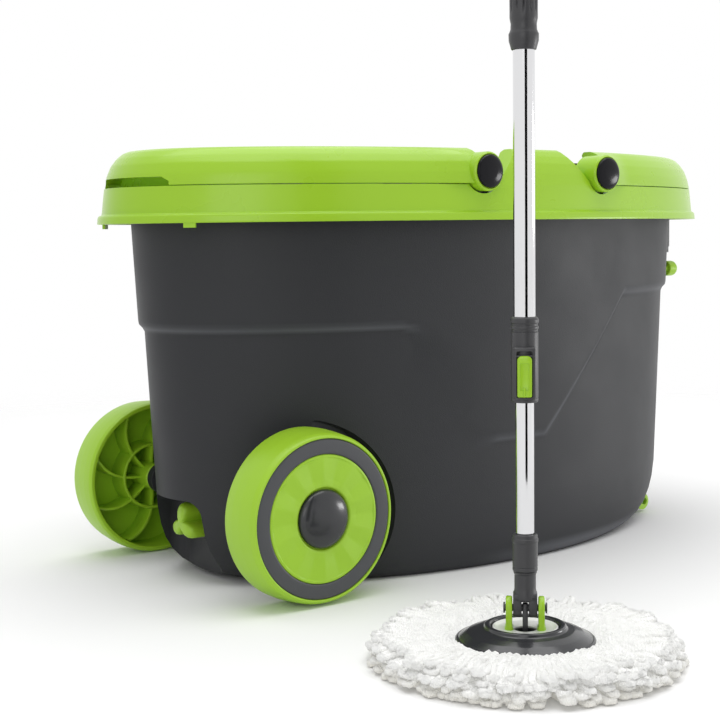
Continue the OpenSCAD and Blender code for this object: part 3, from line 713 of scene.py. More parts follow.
def body_inner(f):
    """The room inside the body, kept clear of the wheel wells and the drain's recess."""
    wall = sizes().wall
    long, wide, top = f["a"], f["b"], f["body_h"] + 1
    levels = [(FLOOR_T, long - 62, wide - 19), (7.0, long - 50, wide - 15), (16.0, long - 34, wide - 11.5),
              (40.0, long - 18.5 - wall, wide - 6 - wall), (top, long - 4.8 - wall, wide - 4 - wall)]
    rings = 64

    def place(ring, turn):
        t = ring / (rings - 1)
        z = FLOOR_T + (top - FLOOR_T) * t ** 1.3
        a, b = between(levels, z)
        x, y = a * math.cos(turn), b * math.sin(turn)
        reach = math.hypot(x - f["well_x"], z - f["well_z"])
        well = f["well_y"] - wall
        if reach < f["well_r"] + 8 and abs(y) > well:
            y = math.copysign(well, y)
        if abs(y) < 40 and z < RECESS_TOP + 7:
            x = max(x, f["recess_x"] + wall)
        return Vector((x, y, z))

    return lofted(rings, 200, place, close_ends=True)


def along_y(bm, x, y, z):
    """Turns a piece from +Z to +Y and sets its lower end at y."""
    return moved(bm, Matrix.Translation((x, y, z)) @ Matrix.Rotation(-math.pi / 2, 4, "X"))


def along_x(bm, x, y, z):
    """Turns a piece from +Z to +X and sets its lower end at x."""
    return moved(bm, Matrix.Translation((x, y, z)) @ Matrix.Rotation(math.pi / 2, 4, "Y"))


def flipped_y(bm):
    bmesh.ops.scale(bm, vec=(1, -1, 1), verts=bm.verts)
    bmesh.ops.reverse_faces(bm, faces=bm.faces)
    return bm


def flipped_x(bm):
    bmesh.ops.scale(bm, vec=(-1, 1, 1), verts=bm.verts)
    bmesh.ops.reverse_faces(bm, faces=bm.faces)
    return bm


def paint_step_highlights(piece, f):
    """Writes how much painted highlight each point gets: the step's slope and the chamfer round the foot.
    """
    burnish = piece.data.attributes.new("burnish", "FLOAT", "POINT")
    for vert in piece.data.vertices:
        x, y, z = vert.co / MM
        a, b = body_half(x, z, f)
        if (x / a) ** 2 + (y / b) ** 2 > OUTER_SHARE:
            share, crisp = step_slope(x, z, f)
            # painted highlight: a pale band along the step's slope and round the foot, standing in for the
            # floor's reflection
            foot = smoothstep(1.0, 3.0, z) * (1 - smoothstep(7.0, 12.0, z)) * smoothstep(-60, 60, x)
            burnish.data[vert.index].value = max(3.2 * share * (1 - share) * crisp ** 2, foot)


def make_body():
    f = bucket_facts()
    shell = as_object(body_outer(f), "bucket_body", slate_shell(), sharp=50)
    wells = [along_y(drum(f["well_r"], 60, 2.0, 128), f["well_x"], f["well_y"], f["well_z"])
             for _ in range(2)]
    flipped_y(wells[1])
    recess = block((80, 60, 80), (f["recess_x"] - 40, 0, RECESS_TOP - 40), RECESS_ROUND, segments=5)
    spout = along_x(drum(SPOUT_R, 20, 0.3), f["recess_x"] - 6, 0, f["drain_z"])
    cut(shell, *wells, recess, body_inner(f), spout)
    bosses = []
    for side in (1, -1):
        boss = along_y(turned([(0, 0), (13, 0), (11, 3), (11, 10.5), (0, 10.5)], 48, 0.8, closed=False),
                       f["wheel"].x, f["well_y"] - 1, f["wheel_r"])
        bosses.append(boss if side > 0 else flipped_y(boss))
    flange = oval_ring(f["a"] + FLANGE_OUT, f["b"] + FLANGE_OUT, f["a"] - FLANGE_IN, f["b"] - FLANGE_IN,
                       f["body_h"] - FLANGE_T, f["body_h"], 0.8)
    extra = as_object(merged(*bosses, flange), "body_extra", slate_matte())
    paint_step_highlights(shell, f)
    join(shell, extra)
    settle(shell, "bucket", "slate_shell", "bucket_shell")


def join(piece, *others):
    """Joins the others' meshes into the piece."""
    bm = bmesh.new()
    bm.from_mesh(piece.data)
    for other in others:
        bm.from_mesh(other.data)
        mesh = other.data
        bpy.data.objects.remove(other)
        bpy.data.meshes.remove(mesh)
    bm.to_mesh(piece.data)
    bm.free()
    piece.data.set_sharp_from_angle(angle=math.radians(35))


def oval_ring(a, b, inner_a, inner_b, z0, z1, edge, segments=160):
    """A flat oval ring with softened rims."""
    outline = rounded([(0, z0), (1, z0), (1, z1), (0, z1)], edge, 3)

    def place(ring, turn):
        share, z = outline[ring % len(outline)]
        return Vector(((inner_a + (a - inner_a) * share) * math.cos(turn),
                       (inner_b + (b - inner_b) * share) * math.sin(turn), z))

    return lofted(len(outline) + 1, segments, place)


def swept_oval(outline, segments):
    """A closed oval band.  Each outline point is (half length, half width, height)."""
    def place(ring, turn):
        a, b, z = outline[ring % len(outline)]
        return Vector((a * math.cos(turn), b * math.sin(turn), z))

    return lofted(len(outline) + 1, segments, place)


# ---------- rim and handles ----------

MIDDLE_FOOT = 11.0   # from a handle's pivot to the foot of the rim's raised middle
MIDDLE_TOP = 35.0    # and to its top
BAND_DEPTH = 9.0     # thickness of the raised middle


def rim_outline(f):
    """Section of the skirt and of the raised band above it."""
    a, b, z, top, depth = f["skirt_a"], f["skirt_b"], f["rim_z"], f["top_z"], BAND_DEPTH
    deck = f["deck_z"]
    wall = sizes().wall
    outer = [(a, b, z), (a + 0.1, b + 0.1, z + 0.8), (a - 0.3, b - 0.3, z + 4.6),
             (a - 1.0, b - 1.0, z + 5.6), (a - 3.0, b - 2.4, z + 6.2), (a - 3.3, b - 2.6, z + 7.5),
             (a - 5.5, b - 3.7, deck),
             (a - 7.6, b - 5.2, deck + 8), (a - 10.5, b - 7.6, deck + 15), (a - 14.5, b - 11.0, deck + 20),
             (a - 18.6, b - 14.4, deck + 23.4), (a - 22.5, b - 17.2, top)]
    inner = [(a - 22.5 - depth + 2, b - 17.2 - depth + 2, top),
             (a - 22.5 - depth, b - 17.2 - depth, top - 2),
             (a - 12 - depth, b - 9.2 - depth, deck + 10),
             (a - 5.5 - depth, b - 3.7 - depth, deck + 0.1),
             (a - 5.5 - depth, b - 3.7 - depth, deck - DECK_T),
             (a - 5.5 - wall, b - 3.7 - wall, deck - DECK_T - 0.1),
             (a - wall, b - wall, z)]
    return outer + inner


def handle_zone(f):
    """The room above the deck that a handle takes: a prism along Y, past the rim's slanted middle."""
    foot, crest = f["pivot"].x + MIDDLE_FOOT, f["pivot"].x + MIDDLE_TOP
    deck, top = f["deck_z"], f["top_z"] + 6
    end, side = -f["skirt_a"] - 20, f["skirt_b"] + 20
    outline = [(foot, deck), (crest, f["top_z"]), (crest + 4, top), (end, top), (end, deck)]
    bm = slab(outline, 2 * side, edge=0)
    return moved(bm, Matrix.Translation((0, side, 0)) @ Matrix.Rotation(math.pi / 2, 4, "X"))


def eye_pockets(f):
    """The four round pockets in the rim that the handles' eyes lie in."""
    pockets = []
    for x in (-f["pivot"].x, f["pivot"].x):
        for side in (1, -1):
            pocket = along_y(drum(f["eye_r"] + 1.5, 60, 0.5, 64), x, f["b"] - 3, f["pivot"].z)
            pockets.append(pocket if side > 0 else flipped_y(pocket))
    return pockets


def rim_deck(f):
    """The flat deck inside the skirt, open over the washing bay and for the basket."""
    a, b = f["skirt_a"] - 7.5, f["skirt_b"] - 5.7
    bay_a, bay_b, bay_x = f["a"] - 24, f["b"] - 18, -14.0

    def place(ring, turn):
        share = 1.0 if ring in (1, 2) else 0.01
        return Vector((a * share * math.cos(turn), b * share * math.sin(turn),
                       f["deck_z"] - (DECK_T if ring < 2 else 0.0)))

    def bay(ring, turn):
        return Vector((min(bay_a * math.cos(turn), bay_x), bay_b * math.sin(turn),
                       f["deck_z"] - 8 + 16 * ring))

    deck = as_object(lofted(4, 160, place, close_ends=True), "deck", lime_gloss())
    hole_r = (BASKET_HIGH.x - BASKET_LOW.x) / 2 + 3.0
    basket_x = (BASKET_HIGH.x + BASKET_LOW.x) / 2
    well = moved(drum(hole_r, 20, 0.5, 96), Matrix.Translation((basket_x, 0, f["deck_z"] - 10)))
    return cut(deck, lofted(2, 96, bay, close_ends=True), well, *eye_pockets(f))


def make_rim():
    f = bucket_facts()
    outline = rounded(rim_outline(f), 0.8, 2)
    band = as_object(swept_oval(outline, 288), "rim_cover_shell", lime_gloss(), sharp=40)
    cut(band, handle_zone(f), flipped_x(handle_zone(f)), *eye_pockets(f))
    join(band, rim_deck(f))
    settle(band, "bucket", "lime_shell", "rim_cover")


def handle_section(f):
    """Section of a carry handle, which carries on the band's outer face."""
    a, b, deck, top = f["skirt_a"], f["skirt_b"], f["deck_z"] + 0.5, f["top_z"]
    depth = sizes().handle_depth
    outer = [(a - 5.5, b - 3.7, deck), (a - 7.6, b - 5.2, deck + 8), (a - 10.5, b - 7.6, deck + 14.5),
             (a - 14.5, b - 11.0, deck + 19.5), (a - 18.6, b - 14.4, deck + 22.9),
             (a - 22.5, b - 17.2, top)]
    inner = [(a - 22.5 - depth + 2, b - 17.2 - depth + 2, top),
             (a - 22.5 - depth, b - 17.2 - depth, top - 2.5),
             (a - 12 - depth, b - 9.2 - depth, deck + 10), (a - 5.5 - depth, b - 3.7 - depth, deck)]
    return rounded(outer + inner, 1.0, 2)


EYE_START = 117.0    # from the middle plane to the inner end of a handle's eye
EYE_BORE = 5.2       # radius of the eye's hole


def handle_notch(f):
    """The finger notch under a handle's far end, as a bar along X."""
    outline = [(-45, -6), (45, -6), (43.5, 3.2), (38, 6.2), (-38, 6.2), (-43.5, 3.2)]
    bar = moved(slab(outline, 120, edge=0), Matrix.Translation((-150, 0, f["deck_z"])) @ Matrix(
        ((0, 0, -1, 0), (1, 0, 0, 0), (0, 1, 0, 0), (0, 0, 0, 1))))
    bmesh.ops.recalc_face_normals(bar, faces=bar.faces)
    return bar


def handle_eyes(f):
    """The two eyes that the pivot pins pass through."""
    r, length = f["eye_r"], f["skirt_b"] - 0.7 - EYE_START
    profile = [(EYE_BORE, 0), (r - 1, 0), (r, 1.5), (r, length - 1.2), (r - 1.2, length), (11.9, length),
               (11.6, length - 0.8), (EYE_BORE, length - 0.8)]
    eyes = [along_y(turned(profile, 72, 0.6), f["pivot"].x, EYE_START, f["pivot"].z) for _ in range(2)]
    flipped_y(eyes[1])
    return merged(*eyes)


def make_handle(front):
    f = bucket_facts()
    name = "carry_handle_front" if front else "carry_handle_rear"
    outline = handle_section(f)
    px, pz = f["pivot"].x, f["pivot"].z

    def place(ring, turn):
        a, b, z = outline[ring % len(outline)]
        x, y = a * math.cos(turn), b * math.sin(turn)
        swell = smoothstep(px - 36, px - 8, x) * (1 if abs(y) > 60 else 0)
        outward = smoothstep(-6, 2, b - (f["skirt_b"] - 12))
        return Vector((x, y + math.copysign(5.0 * swell * outward, y), z))

    band = as_object(lofted(len(outline) + 1, 288, place), name, lime_gloss())
    past_pivot = block((700, 400, 80), (px - 3 + 350, 0, pz), edge=0.1)
    cut(band, past_pivot, handle_notch(f))
    join(band, as_object(handle_eyes(f), "eyes", lime_gloss()))
    if front:
        bm = bmesh.new()
        bm.from_mesh(band.data)
        flipped_x(bm)
        bm.to_mesh(band.data)
        bm.free()
    settle(band, "front_handle" if front else "rear_handle", "lime_shell",
           "handle_front" if front else "handle_rear")


PIN_R = 5.0          # radius of a pivot pin
PIN_START = 100.5    # from the middle plane to a pin's inner end


def make_pins():
    f = bucket_facts()
    parts = []
    dome = [(0, 0), (11.0, 0), (11.3, 0.8), (10.8, 1.9), (9.0, 2.7), (5.0, 3.3), (0, 3.5)]
    for x in (f["pivot"].x, -f["pivot"].x):
        for side in (1, -1):
            head = along_y(turned(dome, 72, 0.8, closed=False), x, f["skirt_b"] - 1.3, f["pivot"].z)
            length = f["skirt_b"] - 0.5 - PIN_START
            shaft = along_y(drum(PIN_R, length, 0.5), x, PIN_START, f["pivot"].z)
            parts += [p if side > 0 else flipped_y(p) for p in (head, shaft)]
    settle(as_object(merged(*parts), "pivot_pin_caps", cap_black()), "bucket", "charcoal", "pivot_pins")


# ---------- wheels ----------

def at_wheel(bm, side):
    """Stands a wheel piece, made along +Z with its inner edge at 0, at its place."""
    f = bucket_facts()
    bm = along_y(bm, f["wheel"].x, f["wheel_in"], f["wheel_r"])
    return bm if side > 0 else flipped_y(bm)


def wheel_rim(f):
    """The wheel's tread, its outer disc and the groove that the inlay sits in."""
    r, w = f["wheel_r"], f["wheel_out"] - f["wheel_in"]
    face = w - 3.0
    disc = r - 15.2
    return turned([
        (r - 4.2, 0), (r - 1.4, 0), (r - 0.2, 2.4), (r, 10), (r - 0.4, w * 0.55), (r - 1.6, w - 4),
        (r - 2.6, w - 1.2), (r - 3.8, w), (r - 4.9, w - 0.2), (r - 5.0, face), (disc + 0.1, face),
        (disc, w - 1.2), (disc - 1.0, w - 0.8), (disc - 3.0, w - 0.8), (32.0, w - 0.9), (26.0, w - 1.1),
        (21.0, w - 1.4), (20.0, w - 2.4), (19.8, face - 0.5), (8, face - 0.5), (8, w - 6),
        (r - 4.6, w - 6)], 160, 0.7)


SPOKES = 8           # curved ribs on a wheel's inner side
SPOKE_STEPS = 8      # straight stretches in a rib
SPOKE_SWEEP = 0.42   # angle that a rib's outer end is swept by
SPOKE_HALF = 0.9     # half the thickness of a rib
WEDGES = 10          # shallow wedges pressed into a wheel's outer disc
WEDGE_DEPTH = 0.9
WEDGE_START = 20.5   # radius at which the wedges begin


def wheel_spokes(f):
    """The ribs, ring and hub that show from the wheel's open inner side."""
    r, w = f["wheel_r"], f["wheel_out"] - f["wheel_in"]
    parts = [turned([(23, 8), (25, 8), (25.6, w - 5), (22.4, w - 5)], 96, 0.6),
             turned([(4.2, 0.5), (9.4, 0.5), (10, 1.4), (10.4, w - 5), (4.2, w - 5)], 64, 0.6)]
    for k in range(SPOKES):
        curve = []
        for i in range(SPOKE_STEPS + 1):
            t = i / SPOKE_STEPS
            angle = SPOKE_SWEEP * t * t
            radius = 9.5 + (r - 14.5) * t
            curve.append((radius * math.cos(angle), radius * math.sin(angle)))
        lean = [SPOKE_HALF * math.sin(0.8 * i / SPOKE_STEPS) for i in range(SPOKE_STEPS + 1)]
        left = [(x - shift, y + SPOKE_HALF) for shift, (x, y) in zip(lean, curve)]
        right = [(x + shift, y - SPOKE_HALF) for shift, (x, y) in zip(lean, curve)]
        rib = slab(left + right[::-1], w - 14, edge=0.3)
        turn = Matrix.Rotation(math.tau * k / SPOKES, 4, "Z") @ Matrix.Translation((0, 0, 9.0))
        parts.append(moved(rib, turn))
    return merged(*parts)


def dimple_face(bm, f):
    """Presses the wheel's outer disc into shallow wedges, like an open fan."""
    w, outer = f["wheel_out"] - f["wheel_in"], f["wheel_r"] - 17.0
    for vert in bm.verts:
        radius = math.hypot(vert.co.x, vert.co.y)
        if WEDGE_START < radius < outer and vert.co.z > w - 4:
            share = (math.atan2(vert.co.y, vert.co.x) / math.tau * WEDGES) % 1.0
            vert.co.z -= WEDGE_DEPTH * abs(2 * share - 1) * smoothstep(WEDGE_START, 26, radius)
    return bm


def make_wheels():
    f = bucket_facts()
    w = f["wheel_out"] - f["wheel_in"]
    r = f["wheel_r"]
    for side, name in ((-1, "near"), (1, "far")):
        body = name + "_wheel"
        tread = as_object(at_wheel(merged(dimple_face(wheel_rim(f), f), wheel_spokes(f)), side),
                          "wheel_disc_" + name, lime_satin())
        settle(tread, body, "lime_parts", "wheel_" + name)
        ring = turned([(r - 15.0, w - 3.0), (r - 5.1, w - 3.0), (r - 5.1, w - 1.0), (r - 6.0, w - 0.5),
                       (r - 14.2, w - 0.5), (r - 15.0, w - 1.0)], 128, 0.5)
        inlay = as_object(at_wheel(ring, side), "wheel_inlay_" + name, slate_satin())
        settle(inlay, body, "slate_parts", "wheel_ring_" + name)
        dome = [(19.0, w - 3.4), (19.2, w - 1.8)]
        dome += [(x, w - 1.6 + z) for x, z in quarter_oval(18.9, 5.4)[1:]]
        cap = turned([(0.0, w - 2.6), (8.0, w - 2.6)] + dome, 96, 0.0, closed=False)
        hub = as_object(at_wheel(cap, side), "hub_cap_dome_" + name, slate_gloss())
        settle(hub, body, "gloss_slate", "hub_cap_" + name)


# ---------- drain, dispenser and front fittings ----------

def make_drain():
    """The drain's cap: a knob of three rounded lobes on a spigot."""
    f = bucket_facts()
    form = [(4.7, 0.0), (4.7, 0.84), (5.0, 0.93), (5.8, 0.99), (7.0, 1.0), (14.5, 1.0), (16.6, 0.98),
            (18.4, 0.92), (19.7, 0.80), (20.4, 0.60), (20.7, 0.35), (20.8, 0.0)]

    def place(ring, turn):
        z, share = form[ring]
        lobe = math.cos(3 * turn)
        radius = (10.4 + 5.0 * lobe - 0.9 * lobe ** 2) * share
        return Vector((radius * math.cos(turn), radius * math.sin(turn), z))

    spigot = turned([(0, 4.8), (8.6, 4.8), (8.6, -2), (0, -2)], 64, 0.6, closed=False)
    bm = merged(lofted(len(form), 96, place), spigot)
    seated = Matrix.Translation((f["recess_x"], 0, f["drain_z"])) @ Matrix.Rotation(-math.pi / 2, 4, "Y")
    piece = as_object(moved(bm, seated), "drain_cap_lobed", lime_satin())
    settle(piece, "drain_plug", "lime_parts", "drain_cap")


def make_button():
    """The soap button: a domed knob on a thinner stem."""
    low, high = node_box("dispenser_button")
    centre = (low + high) / 2
    radius = (high.z - low.z) / 2
    length = high.x - low.x
    stem = [(0, 0), (3.3, 0), (3.3, length - 12.2), (radius - 0.4, length - 12), (radius, length - 11)]
    dome = [(x, length - 5 + z) for x, z in quarter_oval(radius, 5)[:-1]] + [(0, length)]
    knob = along_x(turned(stem + dome, 48, 0.3, closed=False), low.x, centre.y, centre.z)
    piece = as_object(knob, "soap_button_dome", lime_satin())
    settle(piece, "soap_button", "lime_parts", "dispenser_button")


# ---------- mop ----------

def mop_place():
    """The mop's own axes: X along its tilting pin, -Y towards the lock lever, Z up its pole."""
    joint = JOINTS["pole_tilt"]
    pivot = Vector(joint["pos_m"]) / MM
    turn = math.atan2(joint["axis"][1], joint["axis"][0])
    return Matrix.Translation((pivot.x, pivot.y, 0)) @ Matrix.Rotation(turn, 4, "Z")


def tilt_height():
    """Height of the tilting pin above the floor."""
    return JOINTS["pole_tilt"]["pos_m"][2] / MM


def make_plate():
    """The mop plate, a low cone with a raised collar, and the white dish in its middle."""
    r = (PLATE_HIGH.x - PLATE_LOW.x) / 2
    top = PLATE_HIGH.z
    cone = [(6.0, 14.4), (18.6, 14.4), (19.2, 10.2), (r - 2.2, 10.4), (r - 0.6, 10.6), (r, 11.4), (r, 12.5),
            (r - 0.9, 13.3), (r - 2.0, 13.4), (r - 2.6, 13.9), (r - 7, 16.4), (r - 12, 18.1), (23.6, 18.9),
            (22.9, 19.5), (22.6, top - 0.4), (21.6, top), (20.2, top - 0.1), (19.3, top - 0.9),
            (18.6, 16.7), (6.0, 16.7)]
    plate = as_object(moved(turned(cone, 160, 0.5), mop_place()), "mop_plate_cone", slate_gloss())
    settle(plate, "mop_head", "gloss_slate", "mop_plate")
    dish = turned([(6.2, 16.8), (17.9, 16.8), (18.4, 19.6), (17.6, 19.9), (15.8, 18.6), (6.2, 18.1)],
                  128, 0.5)
    piece = as_object(moved(dish, mop_place()), "mop_dish", white_gloss())
    settle(piece, "mop_head", "white_plastic", "centre_dish")


EAR_T = 3.6          # thickness of an ear
EAR_OUT = 10.8       # from the mop's axis to an ear's outer face
LEG_T = 4.7          # thickness of a leg of the yoke
LEG_OUT = 6.7        # from the mop's axis to a leg's outer face


def make_ears():
    """The bracket on the plate: two ears that carry the tilting pin, on padded feet."""
    z = tilt_height()
    parts = []
    crown = [(-x, z + 1 + y) for x, y in half_oval(6.0, 5.6)[1:-1]]
    outline = [(-5.9, 18.6), (-6.0, z + 0.5), *crown, (6.0, z + 0.5), (5.9, 18.6), (4.6, 16.9),
               (-4.6, 16.9)]
    for x in (-EAR_OUT, EAR_OUT - EAR_T):
        ear = upright(slab(outline, EAR_T, edge=0.9), x)
        foot = block((4.8, 9.6, 3.4), (x + EAR_T / 2, 0, 18.4), edge=1.2, segments=3)
        parts += [ear, foot]
    piece = as_object(moved(merged(*parts), mop_place()), "ear_bracket_moulding", lime_gloss())
    settle(piece, "mop_head", "lime_parts", "ear_bracket")
    tongue = slab([(-3.2, 17.5), (-3.6, z - 2), (-1.6, z + 2.4), (0, z + 3.0), (1.6, z + 2.4),
                   (3.6, z - 2), (3.2, 17.5)], 3.0, edge=0.6)
    tongue = moved(upright(tongue, -1.5), mop_place())
    settle(as_object(tongue, "stop_tongue", charcoal_satin()), "mop_head", "charcoal")


def make_yoke():
    """The yoke: two round-ended legs on the tilting pin, a crown and the neck of the pole."""
    z = tilt_height()
    outline = [(-x, z - y) for x, y in half_oval(5.4, 5.4)] + [(5.4, z + 8.5), (-5.4, z + 8.5)]
    legs = [upright(slab(outline[::-1], LEG_T, edge=0.7), x) for x in (-LEG_OUT, LEG_OUT - LEG_T)]
    crown = block((13.4, 10.8, 3.6), (0, 0, z + 6.0), edge=0.9)
    neck = turned([(0, z + 5.0), (6.6, z + 5.0), (6.5, z + 8.0), (6.0, z + 11.0), (6.0, z + 19.2),
                   (6.5, z + 20.2), (6.5, z + 20.9), (0, z + 20.9)], 72, 0.5, closed=False)
    piece = as_object(moved(merged(*legs, crown, neck), mop_place()), "yoke_moulding", charcoal_satin())
    settle(piece, "lower_pole", "charcoal", "yoke")


def make_socket():
    """The sleeve that the lower tube stands in, with a groove near each end."""
    z0, z1 = SOCKET_LOW.z, SOCKET_HIGH.z
    r = 7.0
    profile = [(5.2, z0), (6.6, z0), (r, z0 + 0.6), (r, z0 + 2.2), (r - 0.3, z0 + 2.5), (r, z0 + 2.9),
               (r, z1 - 5.0), (r + 0.35, z1 - 4.4), (r + 0.35, z1 - 2.6), (r - 0.1, z1 - 2.2),
               (r - 0.1, z1 - 0.4), (r - 0.7, z1), (5.2, z1)]
    sleeve = moved(turned(profile, 96, 0.4), mop_place())
    piece = as_object(sleeve, "lower_socket_sleeve", charcoal_satin())
    settle(piece, "lower_pole", "charcoal", "lower_socket")


LOWER_TUBE_R = 5.1
UPPER_TUBE_R = 6.0
TUBE_WALL = 0.5


def tube_piece(name, low, high, radius, body, node):
    bore = radius - TUBE_WALL
    profile = [(bore, low), (radius, low), (radius, high), (bore, high)]
    piece = as_object(moved(turned(profile, 128, 0.15, 2), mop_place()), name, polished_steel())
    settle(piece, body, "bright_steel", node)


def make_tubes():
    tube_piece("lower_tube_steel", TUBE_LOW.z, TUBE_HIGH.z, LOWER_TUBE_R, "lower_pole", "lower_tube")
    tube_piece("upper_tube_steel", UPPER_LOW.z, UPPER_HIGH.z, UPPER_TUBE_R, "upper_pole", "upper_tube")


def make_lock():
    """The lock's housing with the frame round its lever, its ringed collar and the lever."""
    z0, z1 = HOUSING_LOW.z, HOUSING_HIGH.z
    r = 7.5
    top = COLLAR_TOP
    profile = [(5.5, z0), (r - 0.5, z0), (r, z0 + 0.8), (r, z0 + 2.2), (r - 0.25, z0 + 2.5), (r, z0 + 2.8),
               (r, z1 - 0.4), (r - 0.3, z1), (6.05, z1), (6.05, z0 + 12.5), (5.5, z0 + 12.3)]
    barrel = as_object(turned(profile, 96, 0.3), "lock_housing_shell", charcoal_satin())
    surround = block((12.4, 7.4, 29), (0, -5.3, z0 + 16.4), edge=1.4, segments=3)
    surround = as_object(surround, "surround", charcoal_satin())
    bore = moved(drum(6.4, 80, 0.1, 64), Matrix.Translation((0, 0, z0 - 10)))
    slot_room = block((8.8, 5.4, 25.6), (0, -9.2, z0 + 15.9), edge=1.0)
    cut(surround, bore, slot_room)
    join(barrel, surround)
    seat(barrel)
    settle(barrel, "upper_pole", "charcoal", "lock_housing")
    collar = [(6.05, z1), (7.4, z1), (7.2, z1 + 1.0), (7.7, z1 + 1.4), (7.7, z1 + 2.8), (7.2, z1 + 3.2),
              (7.2, z1 + 4.4), (7.8, z1 + 4.8), (7.8, z1 + 6.4), (7.4, top - 0.5), (6.6, top), (6.05, top)]
    piece = as_object(moved(turned(collar, 96, 0.35), mop_place()), "lock_collar_rings", charcoal_satin())
    settle(piece, "upper_pole", "charcoal", "lock_collar")
    make_lever(z0 + 3.0)


def make_lever(z):
    """The lime thumb lever: a tab with a rounded top, a pressed panel and a rib at its foot."""
    outline = [(-4, 0.6), (-4, 20.6)]
    outline += [(-1.4 - x, 20.6 + y) for x, y in quarter_oval(2.6, 2.6, 6)[1:]]
    outline += [(-x, y) for x, y in reversed(outline)]
    stand = Matrix(((1, 0, 0, 0), (0, 0, -1, -6.95), (0, 1, 0, z), (0, 0, 0, 1)))
    tab = moved(slab(outline, 3.9, edge=0.8), stand)
    bmesh.ops.recalc_face_normals(tab, faces=tab.faces)
    tab = as_object(tab, "lock_lever_tab", lime_gloss())
    cut(tab, block((5.0, 1.6, 15.0), (0, -11.1, z + 11.8), edge=0.5))
    join(tab, as_object(block((1.0, 1.4, 5.2), (0, -10.9, z + 3.4), edge=0.4), "rib", lime_gloss()))
    seat(tab)
    settle(tab, "lock_lever", "lime_parts", "lock_lever")


def seat(piece):
    """Moves a piece made about the mop's own axis to the mop."""
    piece.data.transform(Matrix.Scale(MM, 4) @ mop_place() @ Matrix.Scale(1 / MM, 4))


FLUTES = 12          # long grooves round a hand grip
FLUTE_DEPTH = 0.75
GRIP_RISE = 6        # from one ring of a grip's mesh to the next


def grip_piece(name, low, high, node):
    """A hand grip: a stepped collar at its lower end and long flutes above it."""
    r = 7.6
    length = high - low
    heights = [0, 0.4, 2, 5, 7, 8.6, 9.6, 11, 12.4, 14, 15.6, 17, 19, 20.5, 22, 24]
    while heights[-1] + GRIP_RISE < length - 14:
        heights.append(heights[-1] + GRIP_RISE)
    heights += [length - left for left in (12, 10, 8, 5, 2, 0.6, 0)]
    form = [(0, 6.1), (0.4, 6.8), (5, 8.1), (8.6, 8.2), (10.5, 7.2), (14.5, 7.0), (16.5, r),
            (length * 0.5, r + 0.5), (length - 8, r), (length - 0.6, r - 0.6), (length, 6.1)]
    count = len(heights)

    def place(ring, turn):
        if ring in (0, count + 1):
            radius, z = 6.02, (0 if ring == 0 else length)
        else:
            z = heights[ring - 1]
            radius = between(form, z)[0]
            deep = smoothstep(19, 23, z) * (1 - smoothstep(length - 12, length - 9, z))
            groove = max(0.0, math.cos(FLUTES * turn)) ** 3
            radius -= FLUTE_DEPTH * deep * groove
        return Vector((radius * math.cos(turn), radius * math.sin(turn), low + z))

    piece = as_object(moved(lofted(count + 2, 192, place), mop_place()), name, charcoal_satin())
    settle(piece, "upper_pole", "charcoal", node)


def make_grips():
    """Both hand grips and the hanging loop at the top."""
    grip_piece("lower_grip_fluted", GRIP_LOW.z, GRIP_HIGH.z, "lower_grip")
    grip_piece("top_grip_fluted", TOP_GRIP_LOW.z, TOP_GRIP_HIGH.z, "top_grip")
    z = TOP_GRIP_HIGH.z
    loop = [(7.2, -3.6), (11.2, -4), (12, -2.6), (12, 2.6), (11.2, 4), (7.2, 3.6), (6.9, 0)]
    ring = turned(loop, 72, 0.8)
    ring = moved(ring, Matrix.Translation((0, 0, z + 18)) @ Matrix.Rotation(math.pi / 2, 4, "X"))
    cap = turned([(0, 0), (6.4, 0), (6.6, 2), (5.6, 6.2), (4.4, 7.6), (0, 7.8)], 72, 0.8, closed=False)
    cap = moved(cap, Matrix.Translation((0, 0, z)))
    piece = as_object(moved(merged(ring, cap), mop_place()), "hanging_loop", lime_gloss())
    settle(piece, "upper_pole", "lime_parts", "hanging_eye")


# ---------- yarn ----------

def strand_template(rings, sides):
    """A straight strand with a UV map: U runs along it and V goes round it."""
    mesh = bpy.data.meshes.new("strand")
    bm = lofted(rings, sides, lambda ring, turn: Vector((math.cos(turn), math.sin(turn), ring)),
                close_ends=True)
    wrap = bm.loops.layers.uv.new("strand")
    for face in bm.faces:
        turns = [math.atan2(loop.vert.co.y, loop.vert.co.x) / math.tau for loop in face.loops]
        seam = max(turns) - min(turns) > 0.5
        for loop, turn in zip(face.loops, turns):
            loop[wrap].uv = (loop.vert.co.z, turn + (1.0 if seam and turn < 0 else 0.0))
    bm.to_mesh(mesh)
    bm.free()
    return mesh


YARN_INNER = 33.0    # radius at which the loops leave the clamp
YARN_PIECES = (("yarn_loops_lower", (0, 1)), ("yarn_loops_middle", (2, 3)), ("yarn_loops_upper", (4,)))
STRAND_RINGS = 22    # rings of a strand's mesh: 8 down each leg and 6 round the tip
STRAND_SIDES = 6
# Height of each layer of loops, and how far its loops fall short of the outer radius
YARN_LAYERS = ((2.4, 1.5), (5.6, 0.5), (8.8, 0.0), (12.0, 1.5), (14.8, 5.0))


